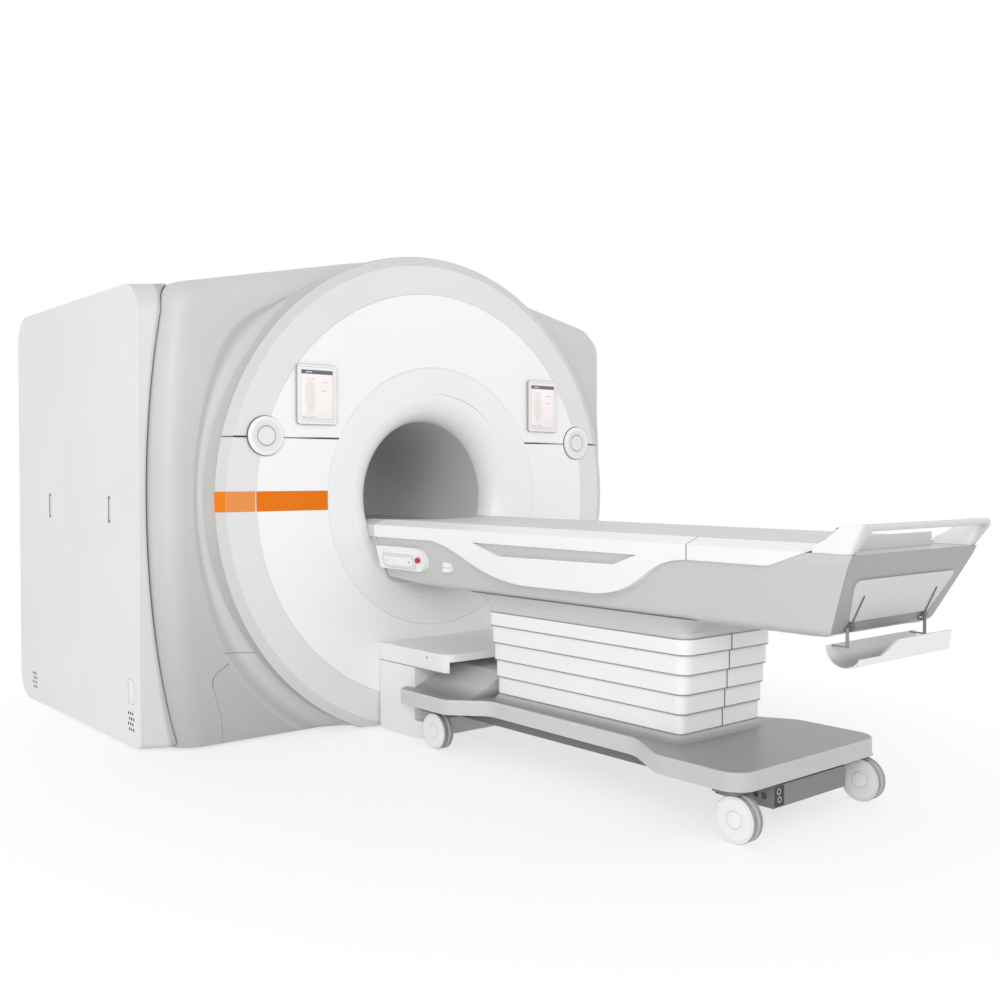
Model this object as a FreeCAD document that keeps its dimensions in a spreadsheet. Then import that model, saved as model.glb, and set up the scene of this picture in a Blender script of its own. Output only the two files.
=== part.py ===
import FreeCAD, Part
import math
import os
import Sketcher

# An MRI scanner: the magnet in its covers, with the patient table docked in front of it.
# Millimetres and degrees. +Y runs along the bore into the magnet and +Z is up. The origin is on
# the floor below the isocentre, so whatever stands in front of the magnet has a negative y.

NUMBERS = {
    # clearances and walls
    "fit": 0.3,                # gap where one piece seats on another
    "slip": 0.6,               # gap where one piece slides in another
    "seam": 3.0,               # open joint between two covers
    "groove": 5.0,             # shadow groove round a side panel
    "coverWall": 5.0,
    "floorGap": 10.0,          # covers end this far above the floor

    # magnet
    "axisHeight": 1036.0,      # bore axis above the floor
    "vesselRadius": 930.0,
    "vesselReach": 735.0,      # half of the vessel's length
    "vesselBore": 450.0,
    "vesselWall": 10.0,
    "flangeThick": 16.0,
    "boreTubeWall": 8.0,
    "heliumRadius": 860.0,
    "heliumReach": 650.0,
    "heliumBore": 520.0,
    "heliumWall": 5.0,
    "postRadius": 25.0,        # supports of the helium vessel
    "postReach": 450.0,
    "formerWall": 8.0,
    "coilDepth": 70.0,
    "gradientBore": 366.0,
    "gradientReach": 700.0,
    "boreRadius": 350.0,
    "linerWall": 4.0,
    "linerReach": 779.7,
    "coilRingReach": 230.0,    # end rings of the body coil
    "coilRingWidth": 40.0,
    "rungWidth": 14.0,
    "rungCount": 16.0,
    "copper": 4.0,
    "footX": 500.0,
    "footY": 520.0,
    "footWidth": 160.0,
    "footLength": 220.0,
    "footPlate": 20.0,
    "anchorX": 620.0,
    "anchorY": 520.0,
    "anchorHole": 11.0,
    "coldHeadY": 330.0,
    "coldHeadRadius": 85.0,
    "coldHeadTop": 2108.0,

    # covers
    "drumRadius": 1103.0,      # collar and outer edge of the bezel ring
    "drumFront": -880.0,
    "drumBack": -600.0,
    "beadRadius": 420.0,
    "ringFront": -900.0,       # front edge of the bezel ring
    "ringFlatRadius": 1060.0,
    "faceRadius": 931.0,       # where the bezel ring meets the white face
    "faceFront": -908.5,
    "funnelRadius": 594.0,
    "funnelFront": -912.0,
    "mouthRadius": 480.0,      # where the flare turns into the bore
    "mouthY": -902.0,
    "funnelBack": -780.0,
    "splitHeight": 1291.0,
    "wallFront": -750.0,       # flat front wall of the surround
    "wallBack": 930.0,
    "frontSeam": -540.0,
    "rearSeam": 700.0,
    "roofEaves": 1800.0,
    "bodyHalf": 1290.0,        # half width where the barrelled side is widest
    "sideMiddle": 1033.0,      # height of that widest line
    "sideBow": 6140.0,         # radius of the side
    "shoulderHeight": 1790.0,  # the side runs on straight from here up to the eaves
    "eavesHeight": 1921.0,
    "eavesRound": 125.0,
    "crownHeight": 2180.0,     # where the two roof slopes would meet
    "crownRound": 1676.0,
    "edgeRound": 112.0,
    "accessTop": 386.0,
    "accessSide": 1058.0,
    "accessFoot": 1008.0,
    "rearMouthRadius": 470.0,
    "rearMouthY": 915.0,
    "rearFunnelRadius": 600.0,
    "rearFunnelBack": 780.0,

    # side panels
    "panelFace": 1320.0,
    "panelInner": 1150.0,
    "panelWall": 6.0,
    "panelFront": -640.0,
    "panelRear": 890.0,
    "panelTop": 1925.0,
    "panelTopRise": 10.0,
    "panelRound": 135.0,
    "panelFrontBevel": 85.0,
    "panelRearBevel": 75.0,
    "gripFront": -325.0,
    "gripRear": 427.0,
    "gripLow": 930.0,
    "gripHigh": 1045.0,
    "gripWidth": 25.0,
    "gripDepth": 3.0,
    "ventFront": -547.0,
    "ventRear": 677.0,
    "ventHeight": 112.0,
    "ventHole": 7.0,
    "ventPitch": 22.0,

    # displays, dials and stripe
    "displayX": 650.0,
    "displayHeight": 1477.0,
    "displayWidth": 195.0,
    "displayTall": 255.0,
    "displayThick": 12.0,
    "displayBack": -911.8,
    "bezelWidth": 11.0,
    "screenDepth": 2.0,
    "dialX": 889.0,
    "dialHeight": 1297.0,
    "dialRadius": 81.5,
    "dialBack": -909.6,
    "dialThick": 15.0,
    "buttonRadius": 40.0,
    "buttonTravel": 3.0,
    "stripeLow": 985.0,
    "stripeHigh": 1068.0,
    "stripeThick": 1.0,

    # dock
    "dockHalf": 325.0,
    "dockBack": -911.8,
    "dockWall": 6.0,
    "dockFace": -1175.0,       # wall at the back of the cavity
    "plinthFront": -1240.0,
    "plinthTop": 81.0,
    "plinthRound": 40.0,
    "cavityTop": 309.0,
    "shelfTop": 387.0,
    "shelfLip": 355.0,         # underside of the thin front edge
    "shelfFront": -1400.0,
    "shelfRound": 60.0,
    "cheekWidth": 25.0,

    # trolley
    "baseLow": 164.0,
    "baseHigh": 226.0,
    "baseHalf": 398.0,
    "baseFoot": -2950.0,
    "baseRound": 80.0,
    "waistHalf": 272.0,
    "waistHead": -1615.0,
    "waistFoot": -2420.0,
    "flareHead": -1480.0,
    "flareFoot": -2610.0,
    "prongTip": -1140.0,
    "notchFace": -1183.0,
    "notchHalf": 333.0,
    "rampTop": 249.5,
    "rampSpread": 24.0,
    "tongueHalf": 130.0,
    "tongueTop": 316.0,
    "tongueRear": -1551.0,     # clear of the bands, which come down past it
    "chassisLow": 120.0,
    "chassisHalf": 235.0,
    "railWidth": 55.0,
    "chassisHead": -1290.0,
    "chassisFoot": -2690.0,
    "plateThick": 10.7,
    "earHalf": 385.0,
    "earDepth": 45.0,
    "batteryHalf": 200.0,
    "batteryFront": -2935.0,
    "batteryBack": -2700.0,
    "batteryLow": 80.0,
    "wheelRadius": 75.0,
    "wheelHalf": 27.2,
    "wheelGap": 7.2,
    "wheelX": 347.3,
    "wheelHeadY": -1370.0,
    "wheelFootY": -2910.0,
    "castorTrail": 30.0,
    "axleRadius": 8.0,
    "hubRadius": 27.0,
    "webHalf": 5.5,
    "stemRadius": 11.7,

    # lift
    "bandTop": 585.0,
    "bandFirst": 60.0,
    "bandBottom": 250.0,
    "bandHalf": 244.6,
    "bandStep": 5.4,
    "bandHead": -1557.0,
    "bandFoot": -2610.0,
    "bandEndStep": 10.0,
    "bandRound": 50.0,
    "bandWall": 4.8,
    "bandLip": 8.0,
    "columnHalf": 110.0,
    "columnHead": -1960.0,
    "columnFoot": -2180.0,
    "columnWall": 8.0,
    "columnTop": 388.0,
    "columnLap": 20.0,

    # table
    "deck": 912.0,             # running surface of the tabletop
    "hullHalf": 355.0,
    "hullShoulder": 882.0,
    "bilgeHalf": 281.0,
    "bilgeHeight": 662.0,
    "keelHalf": 200.0,
    "keelHeight": 645.0,
    "hullWall": 6.0,
    "hullHead": -915.0,
    "hullHeadLow": -931.0,
    "hullFoot": -3307.0,       # foot end at deck height
    "footLean": 0.483,         # run of the foot end for each unit of height
    "frameLow": 862.0,
    "frameSeam": -1348.5,
    "rimHalf": 301.0,
    "rimTop": 937.0,
    "railHalf": 361.0,
    "railShoulder": 915.0,
    "railLow": 716.0,
    "railSeam": -2705.0,
    "railEnd": -3165.0,
    "slotTop": 868.0,
    "slotLow": 822.0,
    "boardHalf": 298.5,
    "boardEdge": 938.0,
    "boardDish": 5573.0,
    "boardHead": -918.0,
    "boardFoot": -3200.0,
    "boardLip": 954.0,
    "handleOuter": 352.0,
    "handleThick": 14.0,
    "handleTop": 1000.0,
    "handleEnd": -3352.0,
    "handleBar": 34.0,
    "endPanelTopHalf": 290.0,
    "endPanelLowHalf": 221.0,
    "endPanelTop": 835.0,
    "endPanelLow": 703.0,
    "endPanelThick": 5.0,
    "pivotX": 208.0,
    "pivotY": -3200.0,
    "pivotHeight": 683.0,
    "rodRadius": 3.0,
    "gutterHalf": 255.0,
    "gutterY": -3214.0,
    "gutterHeight": 632.0,
    "gutterRadius": 62.0,
    "gutterWall": 4.0,
    "consoleFace": 362.0,
    "consoleLow": 724.0,
    "consoleHigh": 825.0,
    "consoleHead": -934.0,
    "consoleFoot": -1268.0,
    "consoleLean": 25.0,
    "jogHead": -985.0,
    "jogFoot": -1195.0,
    "jogHeight": 762.0,
    "jogTall": 40.0,
    "jogThick": 6.0,
    "stopY": -1240.0,
    "stopHeight": 774.0,
    "stopRadius": 12.0,
    "stopTravel": 3.0,
    "switchY": -1403.0,
    "switchHeight": 754.0,
    "switchWidth": 46.0,
    "switchTall": 40.0,
    "switchFace": 330.0,
}

doc = FreeCAD.newDocument("mri_scanner")
sheet = doc.addObject("Spreadsheet::Sheet", "sizes")
nodes = []


class Size:
    """A number together with the formula that works it out from the sheet's cells."""

    def __init__(self, value, formula):
        self.value = value
        self.formula = formula

    def __add__(self, other):
        other = as_size(other)
        return Size(self.value + other.value, f"({self.formula} + {other.formula})")

    def __sub__(self, other):
        other = as_size(other)
        return Size(self.value - other.value, f"({self.formula} - {other.formula})")

    def __mul__(self, other):
        other = as_size(other)
        return Size(self.value * other.value, f"({self.formula} * {other.formula})")

    def __truediv__(self, other):
        other = as_size(other)
        return Size(self.value / other.value, f"({self.formula} / {other.formula})")

    def __neg__(self):
        return Size(-self.value, f"(-1 * {self.formula})")

    def __radd__(self, other):
        return as_size(other) + self

    def __rsub__(self, other):
        return as_size(other) - self

    def __rmul__(self, other):
        return as_size(other) * self


def as_size(number):
    return number if isinstance(number, Size) else Size(float(number), f"({float(number)})")


def root(size):
    return Size(math.sqrt(size.value), f"sqrt({size.formula})")


class Sheet:
    """The driving sizes, each in a cell of the spreadsheet under its own alias."""

    def __init__(self, numbers):
        for row, (name, number) in enumerate(numbers.items(), start=1):
            sheet.set(f"A{row}", name)
            sheet.set(f"B{row}", str(number))
            sheet.setAlias(f"B{row}", name)
            setattr(self, name, Size(number, f"sizes.{name}"))


s = Sheet(NUMBERS)
doc.recompute()


# Drawing planes: the turn of the sketch, the axis it moves along, and the axes its u and v follow.
PLANES = {
    "XY": (FreeCAD.Rotation(), "z", (0, 0, 1), "xy"),
    "XZ": (FreeCAD.Rotation(FreeCAD.Vector(1, 0, 0), 90), "y", (0, 1, 0), "xz"),
    "YZ": (FreeCAD.Rotation(FreeCAD.Vector(1, 1, 1), 120), "x", (1, 0, 0), "yz"),
}


def corner(u, v, radius):
    """A corner of the outline, rounded."""
    return ("corner", u, v, radius)


def arc_to(u, v, radius):
    """An arc that ends at u, v: a positive radius turns left, a negative one turns right."""
    return ("arc", u, v, radius)


def circle(u, v, radius):
    return ("circle", u, v, radius)


def spot(u, v):
    return FreeCAD.Vector(as_size(u).value, as_size(v).value, 0)


def dimension(sketch, constraint, size):
    index = sketch.addConstraint(constraint)
    if "sizes." in size.formula:
        sketch.setExpression(f"Constraints[{index}]", size.formula)


def pin(sketch, piece, end, u, v):
    for kind, size in (("DistanceX", as_size(u)), ("DistanceY", as_size(v))):
        dimension(sketch, Sketcher.Constraint(kind, -1, 1, piece, end, size.value), size)


def round_by(sketch, piece, radius):
    size = as_size(radius)
    size = -size if size.value < 0 else size
    dimension(sketch, Sketcher.Constraint("Radius", piece, size.value), size)


def arc(first, middle, last):
    """An arc through three points, always stored the way a sketch counts, anticlockwise."""
    if (middle - first).cross(last - middle).z < 0:
        first, last = last, first
    return Part.Arc(first, middle, last)


def bent(first, last, radius):
    chord = last - first
    outward = FreeCAD.Vector(chord.y, -chord.x, 0).normalize()
    bow = abs(radius) - math.sqrt(radius ** 2 - (chord.Length / 2) ** 2)
    return arc(first, (first + last) / 2 + outward * math.copysign(bow, radius), last)


def rounding(first, last, tip):
    before, after = first - tip, last - tip
    half = before.getAngle(after) / 2
    radius = before.Length * math.tan(half)
    inward = (before.normalize() + after.normalize()).normalize()
    return arc(first, tip + inward * (radius / math.sin(half) - radius), last)


def ends_of(sketch, piece, start):
    """The numbers of a piece's first and last end, when the outline runs from start."""
    shape = sketch.Geometry[piece]
    turned_round = (shape.StartPoint - start).Length > 1e-6
    return (2, 1) if turned_round else (1, 2)


def draw(sketch, loop):
    """One closed outline, fully constrained, with every size bound to the sheet."""
    if loop[0] == "circle":
        _, u, v, radius = loop
        piece = sketch.addGeometry(Part.Circle(spot(u, v), FreeCAD.Vector(0, 0, 1), as_size(radius).value))
        pin(sketch, piece, 3, u, v)
        round_by(sketch, piece, radius)
        return
    items = [item if isinstance(item[0], str) else ("point",) + tuple(item) for item in loop]
    count = len(items)
    tips = [spot(item[1], item[2]) for item in items]
    arrive, leave = list(tips), list(tips)
    for i, item in enumerate(items):
        if item[0] == "corner":
            before = (tips[i - 1] - tips[i]).normalize()
            after = (tips[(i + 1) % count] - tips[i]).normalize()
            reach = as_size(item[3]).value / math.tan(before.getAngle(after) / 2)
            arrive[i] = tips[i] + before * reach
            leave[i] = tips[i] + after * reach
    pieces, ends = [], []
    for i, item in enumerate(items):
        if item[0] == "arc":
            pieces.append(sketch.addGeometry(bent(leave[i - 1], arrive[i], as_size(item[3]).value)))
            round_by(sketch, pieces[i], item[3])
        else:
            pieces.append(sketch.addGeometry(Part.LineSegment(leave[i - 1], arrive[i])))
        ends.append(ends_of(sketch, pieces[i], leave[i - 1]))
    for i, item in enumerate(items):
        after = (i + 1) % count
        if item[0] == "corner":
            bend = sketch.addGeometry(rounding(arrive[i], leave[i], tips[i]))
            first, last = ends_of(sketch, bend, arrive[i])
            sketch.addConstraint(Sketcher.Constraint("Tangent", pieces[i], ends[i][1], bend, first))
            sketch.addConstraint(Sketcher.Constraint("Tangent", bend, last, pieces[after], ends[after][0]))
            round_by(sketch, bend, item[3])
            tip = sketch.addGeometry(Part.Point(tips[i]), True)
            sketch.addConstraint(Sketcher.Constraint("PointOnObject", tip, 1, pieces[i]))
            sketch.addConstraint(Sketcher.Constraint("PointOnObject", tip, 1, pieces[after]))
            pin(sketch, tip, 1, item[1], item[2])
        else:
            joined = (pieces[i], ends[i][1], pieces[after], ends[after][0])
            sketch.addConstraint(Sketcher.Constraint("Coincident", *joined))
            pin(sketch, pieces[i], ends[i][1], item[1], item[2])


def bind(thing, **sizes):
    for name, size in sizes.items():
        thing.setExpression(name, as_size(size).formula)


def place(thing, x=0, y=0, z=0):
    for letter, size in zip("xyz", (x, y, z)):
        thing.setExpression(f"Placement.Base.{letter}", as_size(size).formula)


def sketch_on(name, plane, at, loops, base=(0, 0)):
    turn, along, _, across = PLANES[plane]
    sketch = doc.addObject("Sketcher::SketchObject", name)
    sketch.Placement = FreeCAD.Placement(FreeCAD.Vector(), turn)
    place(sketch, **{along: at, across[0]: base[0], across[1]: base[1]})
    for loop in loops:
        draw(sketch, loop)
    return sketch


def prism(name, plane, start, stop, *loops, base=(0, 0)):
    """Outlines drawn on a plane and carried straight from start to stop."""
    solid = doc.addObject("Part::Extrusion", name)
    solid.Base = sketch_on(name + "Outline", plane, start, loops, base)
    solid.DirMode = "Custom"
    solid.Dir = FreeCAD.Vector(*PLANES[plane][2])
    solid.Solid = True
    bind(solid, LengthFwd=as_size(stop) - start)
    return solid


def turned(name, axis, centre, *loops):
    """Outlines turned round a line through centre. They are drawn from centre, for X and Y as
    (distance along, distance out) and for Z as (distance out, distance up)."""
    x, y, z = centre
    plane, at, base = ("XZ", y, (x, z)) if axis in "XZ" else ("YZ", x, (y, z))
    solid = doc.addObject("Part::Revolution", name)
    solid.Source = sketch_on(name + "Outline", plane, at, loops, base)
    solid.Axis = {"X": FreeCAD.Vector(1, 0, 0), "Y": FreeCAD.Vector(0, 1, 0), "Z": FreeCAD.Vector(0, 0, 1)}[axis]
    solid.Angle = 360
    solid.Solid = True
    for letter, size in zip("xyz", centre):
        solid.setExpression(f"Base.{letter}", as_size(size).formula)
    return solid


def ring(name, *loops):
    """Outlines given as (y, radius), turned round the bore axis."""
    return turned(name, "Y", (0, 0, s.axisHeight), *loops)


def loft(name, *sketches):
    solid = doc.addObject("Part::Loft", name)
    solid.Sections = list(sketches)
    solid.Solid = True
    solid.Ruled = True
    return solid


def box(name, x, y, z):
    """A block between two x, two y and two z."""
    solid = doc.addObject("Part::Box", name)
    bind(solid, Length=as_size(x[1]) - x[0], Width=as_size(y[1]) - y[0], Height=as_size(z[1]) - z[0])
    place(solid, x[0], y[0], z[0])
    return solid


def cylinder(name, axis, centre, radius, start, stop):
    """A round bar from start to stop along an axis, centred on the other two coordinates."""
    solid = doc.addObject("Part::Cylinder", name)
    turns = {"X": ((0, 1, 0), 90), "Y": ((1, 0, 0), -90), "Z": ((0, 0, 1), 0)}
    direction, angle = turns[axis]
    solid.Placement = FreeCAD.Placement(FreeCAD.Vector(), FreeCAD.Rotation(FreeCAD.Vector(*direction), angle))
    bind(solid, Radius=radius, Height=as_size(stop) - start)
    place(solid, **dict(zip("xyz".replace(axis.lower(), ""), centre)), **{axis.lower(): start})
    return solid


def cut(name, base, *tools):
    return combine("Part::Cut", name, base, tools)


def common(name, base, *tools):
    return combine("Part::Common", name, base, tools)


def fuse(name, base, *tools):
    return combine("Part::Fuse", name, base, tools)


def combine(kind, name, base, tools):
    for count, tool in enumerate(tools, start=1):
        last = count == len(tools)
        result = doc.addObject(kind, name if last else f"{name}Step{count}")
        result.Base = base
        result.Tool = tool
        base = result
    return base


def group(name, *pieces):
    """Separate solids that make one sub-part."""
    compound = doc.addObject("Part::Compound", name)
    compound.Links = list(pieces)
    return compound


def mirrored(name, source):
    """The same piece on the other side of the plane x = 0."""
    copy = doc.addObject("Part::Mirroring", name)
    copy.Source = source
    copy.Normal = FreeCAD.Vector(1, 0, 0)
    return copy


def body_sketch(body, name, plane, at, loops):
    """A sketch on one of a body's own origin planes, moved along the plane's axis."""
    sketch = body.newObject("Sketcher::SketchObject", name)
    origin = [face for face in body.Origin.OriginFeatures if face.Role == f"{plane}_Plane"][0]
    sketch.AttachmentSupport = [(origin, "")]
    sketch.MapMode = "FlatFace"
    offset = -as_size(at) if plane == "XZ" else as_size(at)
    sketch.setExpression("AttachmentOffset.Base.z", offset.formula)
    for loop in loops:
        draw(sketch, loop)
    return sketch


def feature(body, kind, name, profile, **sizes):
    result = body.newObject(f"PartDesign::{kind}", name)
    result.Profile = profile
    bind(result, **sizes)
    body.Tip = result
    return result


def rounded_edges(body, name, radius, wanted):
    """A fillet on every edge of the body so far whose middle satisfies a test."""
    doc.recompute()
    base = body.Tip
    names = [f"Edge{i}" for i, edge in enumerate(base.Shape.Edges, start=1) if wanted(middle_of(edge))]
    fillet = body.newObject("PartDesign::Fillet", name)
    fillet.Base = (base, names)
    bind(fillet, Radius=radius)
    body.Tip = fillet
    return fillet


def middle_of(edge):
    return edge.valueAt((edge.FirstParameter + edge.LastParameter) / 2)


def node(thing):
    """Marks a finished sub-part: its label names its file."""
    nodes.append(thing)
    return thing


# ---------------------------------------------------------------- magnet

def magnet_vessels():
    reach, outer, bore = s.vesselReach, s.vesselRadius, s.vesselBore
    shell = ring("vesselShell", [
        (-reach, bore), (-reach + s.flangeThick, bore), (-reach + s.flangeThick, outer - s.vesselWall),
        (reach - s.flangeThick, outer - s.vesselWall), (reach - s.flangeThick, bore), (reach, bore),
        (reach, outer), (-reach, outer)])
    tube = ring("vesselTube", band_of(-reach, reach, bore - s.boreTubeWall, bore - s.fit))
    node(group("vacuum_vessel", shell, tube))

    reach, outer, bore = s.heliumReach, s.heliumRadius, s.heliumBore
    can = ring("heliumCan", [
        (-reach, bore), (-reach + s.heliumWall, bore), (-reach + s.heliumWall, outer - s.heliumWall),
        (reach - s.heliumWall, outer - s.heliumWall), (reach - s.heliumWall, bore), (reach, bore),
        (reach, outer), (-reach, outer)])
    near = outer - s.heliumWall / 2
    far = s.vesselRadius - s.vesselWall - s.slip
    posts = []
    for number, y in enumerate((-s.postReach, s.postReach)):
        for side in (-1, 1):
            reach_x = sorted((side * near, side * far), key=lambda size: size.value)
            reach_z = [s.axisHeight + size for size in reach_x]
            posts.append(cylinder(f"postX{number}{side + 1}", "X", (y, s.axisHeight), s.postRadius, *reach_x))
            posts.append(cylinder(f"postZ{number}{side + 1}", "Z", (0, y), s.postRadius, *reach_z))
    node(fuse("helium_vessel", can, *posts))

    former = ring("coilFormer", band_of(-s.heliumReach, s.heliumReach, bore - s.formerWall, bore - s.fit))
    coils = []
    for number, (middle, half) in enumerate(((-520, 90), (-250, 40), (-90, 35), (90, 35), (250, 40), (520, 90))):
        low = bore + s.fit
        coils.append(ring(f"coil{number}", band_of(middle - half, middle + half, low, low + s.coilDepth)))
    node(group("superconducting_coils", former, *coils))


def band_of(start, stop, inner, outer):
    """A plain rectangle for a ring, as (y, radius)."""
    return [(start, inner), (stop, inner), (stop, outer), (start, outer)]


def bore_coils():
    tube_bore = s.vesselBore - s.boreTubeWall
    node(ring("gradient_coil", band_of(-s.gradientReach, s.gradientReach, s.gradientBore, tube_bore - s.fit)))
    node(ring("bore_liner", band_of(-s.linerReach, s.linerReach, s.boreRadius, s.boreRadius + s.linerWall)))

    # Two end rings joined by rungs, set evenly round the liner.
    low = s.boreRadius + s.linerWall + s.fit
    high = low + s.copper
    birdcage = doc.addObject("PartDesign::Body", "body_coil")
    place(birdcage, z=s.axisHeight)
    start, stop = s.coilRingReach - s.coilRingWidth, s.coilRingReach
    rings = body_sketch(birdcage, "coilRings", "YZ", 0, [
        band_of(-stop, -start, low, high), band_of(start, stop, low, high)])
    turn = feature(birdcage, "Revolution", "coilRingTurn", rings)
    turn.ReferenceAxis = (origin_of(birdcage, "Y_Axis"), [""])
    turn.Angle = 360
    half = s.rungWidth / 2
    rung = body_sketch(birdcage, "rungOutline", "XZ", -start - s.copper, [
        [(-half, low + s.copper / 8), (half, low + s.copper / 8), (half, high), (-half, high)]])
    bar = feature(birdcage, "Pad", "rung", rung, Length=start * 2 + s.copper * 2)
    bar.Reversed = True
    bar.Refine = False
    pattern = birdcage.newObject("PartDesign::PolarPattern", "rungs")
    pattern.Originals = [bar]
    pattern.Axis = (origin_of(birdcage, "Y_Axis"), [""])
    pattern.Angle = 360
    bind(pattern, Occurrences=s.rungCount)
    birdcage.Tip = pattern
    node(birdcage)


def origin_of(body, role):
    return [item for item in body.Origin.OriginFeatures if item.Role == role][0]


def magnet_feet():
    seat = s.vesselRadius + s.fit
    vessel = cylinder("feetVessel", "Y", (0, s.axisHeight), seat, -s.vesselReach, s.vesselReach)
    feet = []
    for side in (-1, 1):
        for end in (-1, 1):
            tag = f"{side + 1}{end + 1}"
            x, y = s.footX * side, s.footY * end
            column = box(f"footColumn{tag}", (x - s.footWidth / 2, x + s.footWidth / 2),
                         (y - s.footLength / 2, y + s.footLength / 2), (0, s.axisHeight / 2))
            outer = s.anchorX * side + s.footWidth / 4 * side
            inner = x - s.footWidth / 2 * side
            low, high = sorted((outer, inner), key=lambda size: size.value)
            plate = box(f"footPlate{tag}", (low, high),
                        (y - s.footLength / 2, y + s.footLength / 2), (0, s.footPlate))
            hole = cylinder(f"anchorHole{tag}", "Z", (s.anchorX * side, s.anchorY * end), s.anchorHole,
                            -s.footPlate, s.footPlate * 2)
            feet.append(cut(f"foot{tag}", fuse(f"footBlock{tag}", column, plate), vessel, hole))
    node(group("magnet_feet", *feet))


def cold_head():
    """The refrigerator on top of the vessel: a flanged sleeve with its motor drum."""
    low = s.axisHeight + s.vesselRadius * 0.95
    radius = s.coldHeadRadius
    flange = s.axisHeight + s.vesselRadius + 12
    tower = turned("coldHeadTower", "Z", (0, s.coldHeadY, 0), [
        (0, low), (radius + 35, low), (radius + 35, flange), (radius, flange), (radius, flange + 40),
        (radius * 0.7, flange + 46), (radius * 0.7, flange + 70), (radius, flange + 76),
        corner(radius, s.coldHeadTop, 12), (0, s.coldHeadTop)])
    vessel = cylinder("coldHeadSeat", "Y", (0, s.axisHeight), s.vesselRadius + s.fit, 0, s.coldHeadY * 2)
    node(cut("cold_head", tower, vessel))


# ---------------------------------------------------------------- covers

def envelope(name, inset, foot):
    """The arched block that the covers follow, with its front and rear edges rounded."""
    bow = s.sideBow - inset
    centre = s.bodyHalf - s.sideBow
    below = s.sideMiddle - foot
    wide = centre + root(bow * bow - below * below)
    lean = (s.shoulderHeight - s.sideMiddle) / s.sideBow
    upright = root(1 - lean * lean)
    shoulder, shoulder_height = centre + bow * upright, s.sideMiddle + bow * lean
    eaves_height = s.eavesHeight - inset
    eaves = shoulder - (eaves_height - shoulder_height) * lean / upright
    turn = s.eavesRound - inset
    crown = s.crownRound - inset
    front, rear = s.wallFront + inset, s.wallBack - inset
    body = doc.addObject("PartDesign::Body", name)
    outline = body_sketch(body, name + "Outline", "XZ", front, [[
        arc_to(-wide, foot, bow), (wide, foot), arc_to(shoulder, shoulder_height, bow),
        corner(eaves, eaves_height, turn), corner(0, s.crownHeight - inset, crown),
        corner(-eaves, eaves_height, turn), (-shoulder, shoulder_height)]])
    pad = feature(body, "Pad", name + "Pad", outline, Length=rear - front)
    pad.Reversed = True
    ends = (front.value, rear.value)
    low = as_size(foot).value + 1
    rounded_edges(body, name + "Edges", s.edgeRound - inset,
                  lambda spot: min(abs(spot.y - y) for y in ends) < 0.01 and spot.z > low)
    return body


def access_region(name, grow):
    """The outline of the left access panel, grown on its free edges."""
    top, side, foot = s.accessTop + grow, -s.accessSide - grow, -s.accessFoot - grow
    return prism(name, "XZ", s.wallFront - 50, s.wallFront + 60, [
        (-300, -50), (foot, -50), (foot, 87), corner(side, 288, 50), corner(-912 - grow / 2, top, 70),
        (-300, top)])


def collar():
    """The short drum round the bezel ring, with a soft bead. It narrows where it is inside."""
    wall = s.coverWall
    lip = s.drumFront + s.fit
    narrow = s.drumRadius - 25
    return ring("collarDrum", [
        (s.drumBack, narrow - wall), (s.wallFront + 10, s.drumRadius - wall), (lip, s.drumRadius - wall),
        (lip, s.drumRadius), arc_to(s.drumFront + 105, s.drumRadius, -s.beadRadius),
        (s.wallFront + 10, s.drumRadius), (s.drumBack, narrow)])


def magnet_covers():
    outer = envelope("coverOuter", as_size(0), s.floorGap)
    inner = envelope("coverInner", s.coverWall, s.floorGap - 50)
    deep = envelope("coverDeep", s.coverWall * 3, s.floorGap - 50)
    shell = cut("coverShell", outer, inner)
    far = s.panelFace * 1.2
    high = s.crownHeight + 50
    above_floor = ((-far, far), (s.floorGap, high))

    front_zone = box("frontZone", above_floor[0], (s.ringFront - 50, s.frontSeam), above_floor[1])
    hole = cylinder("drumHole", "Y", (0, s.axisHeight), s.drumRadius - s.coverWall / 2,
                    s.wallFront - 50, s.drumBack)
    panel_hole = cylinder("panelHole", "Y", (0, s.axisHeight), s.drumRadius + s.slip, s.wallFront - 50, s.drumBack)
    wall = cut("frontWall", common("frontShell", shell, front_zone), hole)
    opening_left = access_region("accessOpeningLeft", s.seam)
    opening_right = mirrored("accessOpeningRight", opening_left)
    drum = common("collarTrim", cut("collarOutside", collar(), deep), front_zone)
    node(fuse("front_surround", cut("wallOpened", wall, opening_left, opening_right), drum))

    panel_left = cut("accessPanelLeft", common("accessShellLeft", wall, access_region("accessLeft", 0)),
                     panel_hole)
    node(group("access_panels", panel_left, mirrored("accessPanelRight", panel_left)))

    top_zone = box("topZone", above_floor[0], (s.frontSeam + s.slip, s.rearSeam - s.slip), (s.roofEaves, high))
    node(common("top_cover", shell, top_zone))

    rear_zone = box("rearZone", above_floor[0], (s.rearSeam, s.wallBack + 50), above_floor[1])
    rear_hole = cylinder("rearHole", "Y", (0, s.axisHeight), s.rearFunnelRadius - s.coverWall,
                         s.rearSeam, s.wallBack + 50)
    flare = funnel("rearFunnel", s.wallBack + 1.5, s.rearFunnelRadius, s.rearMouthY, s.rearMouthRadius,
                   s.rearFunnelBack, s.coverWall)
    rear_wall = cut("rearWall", common("rearShell", shell, rear_zone), rear_hole)
    node(fuse("rear_cover", rear_wall, flare))
    side_panels()


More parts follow.
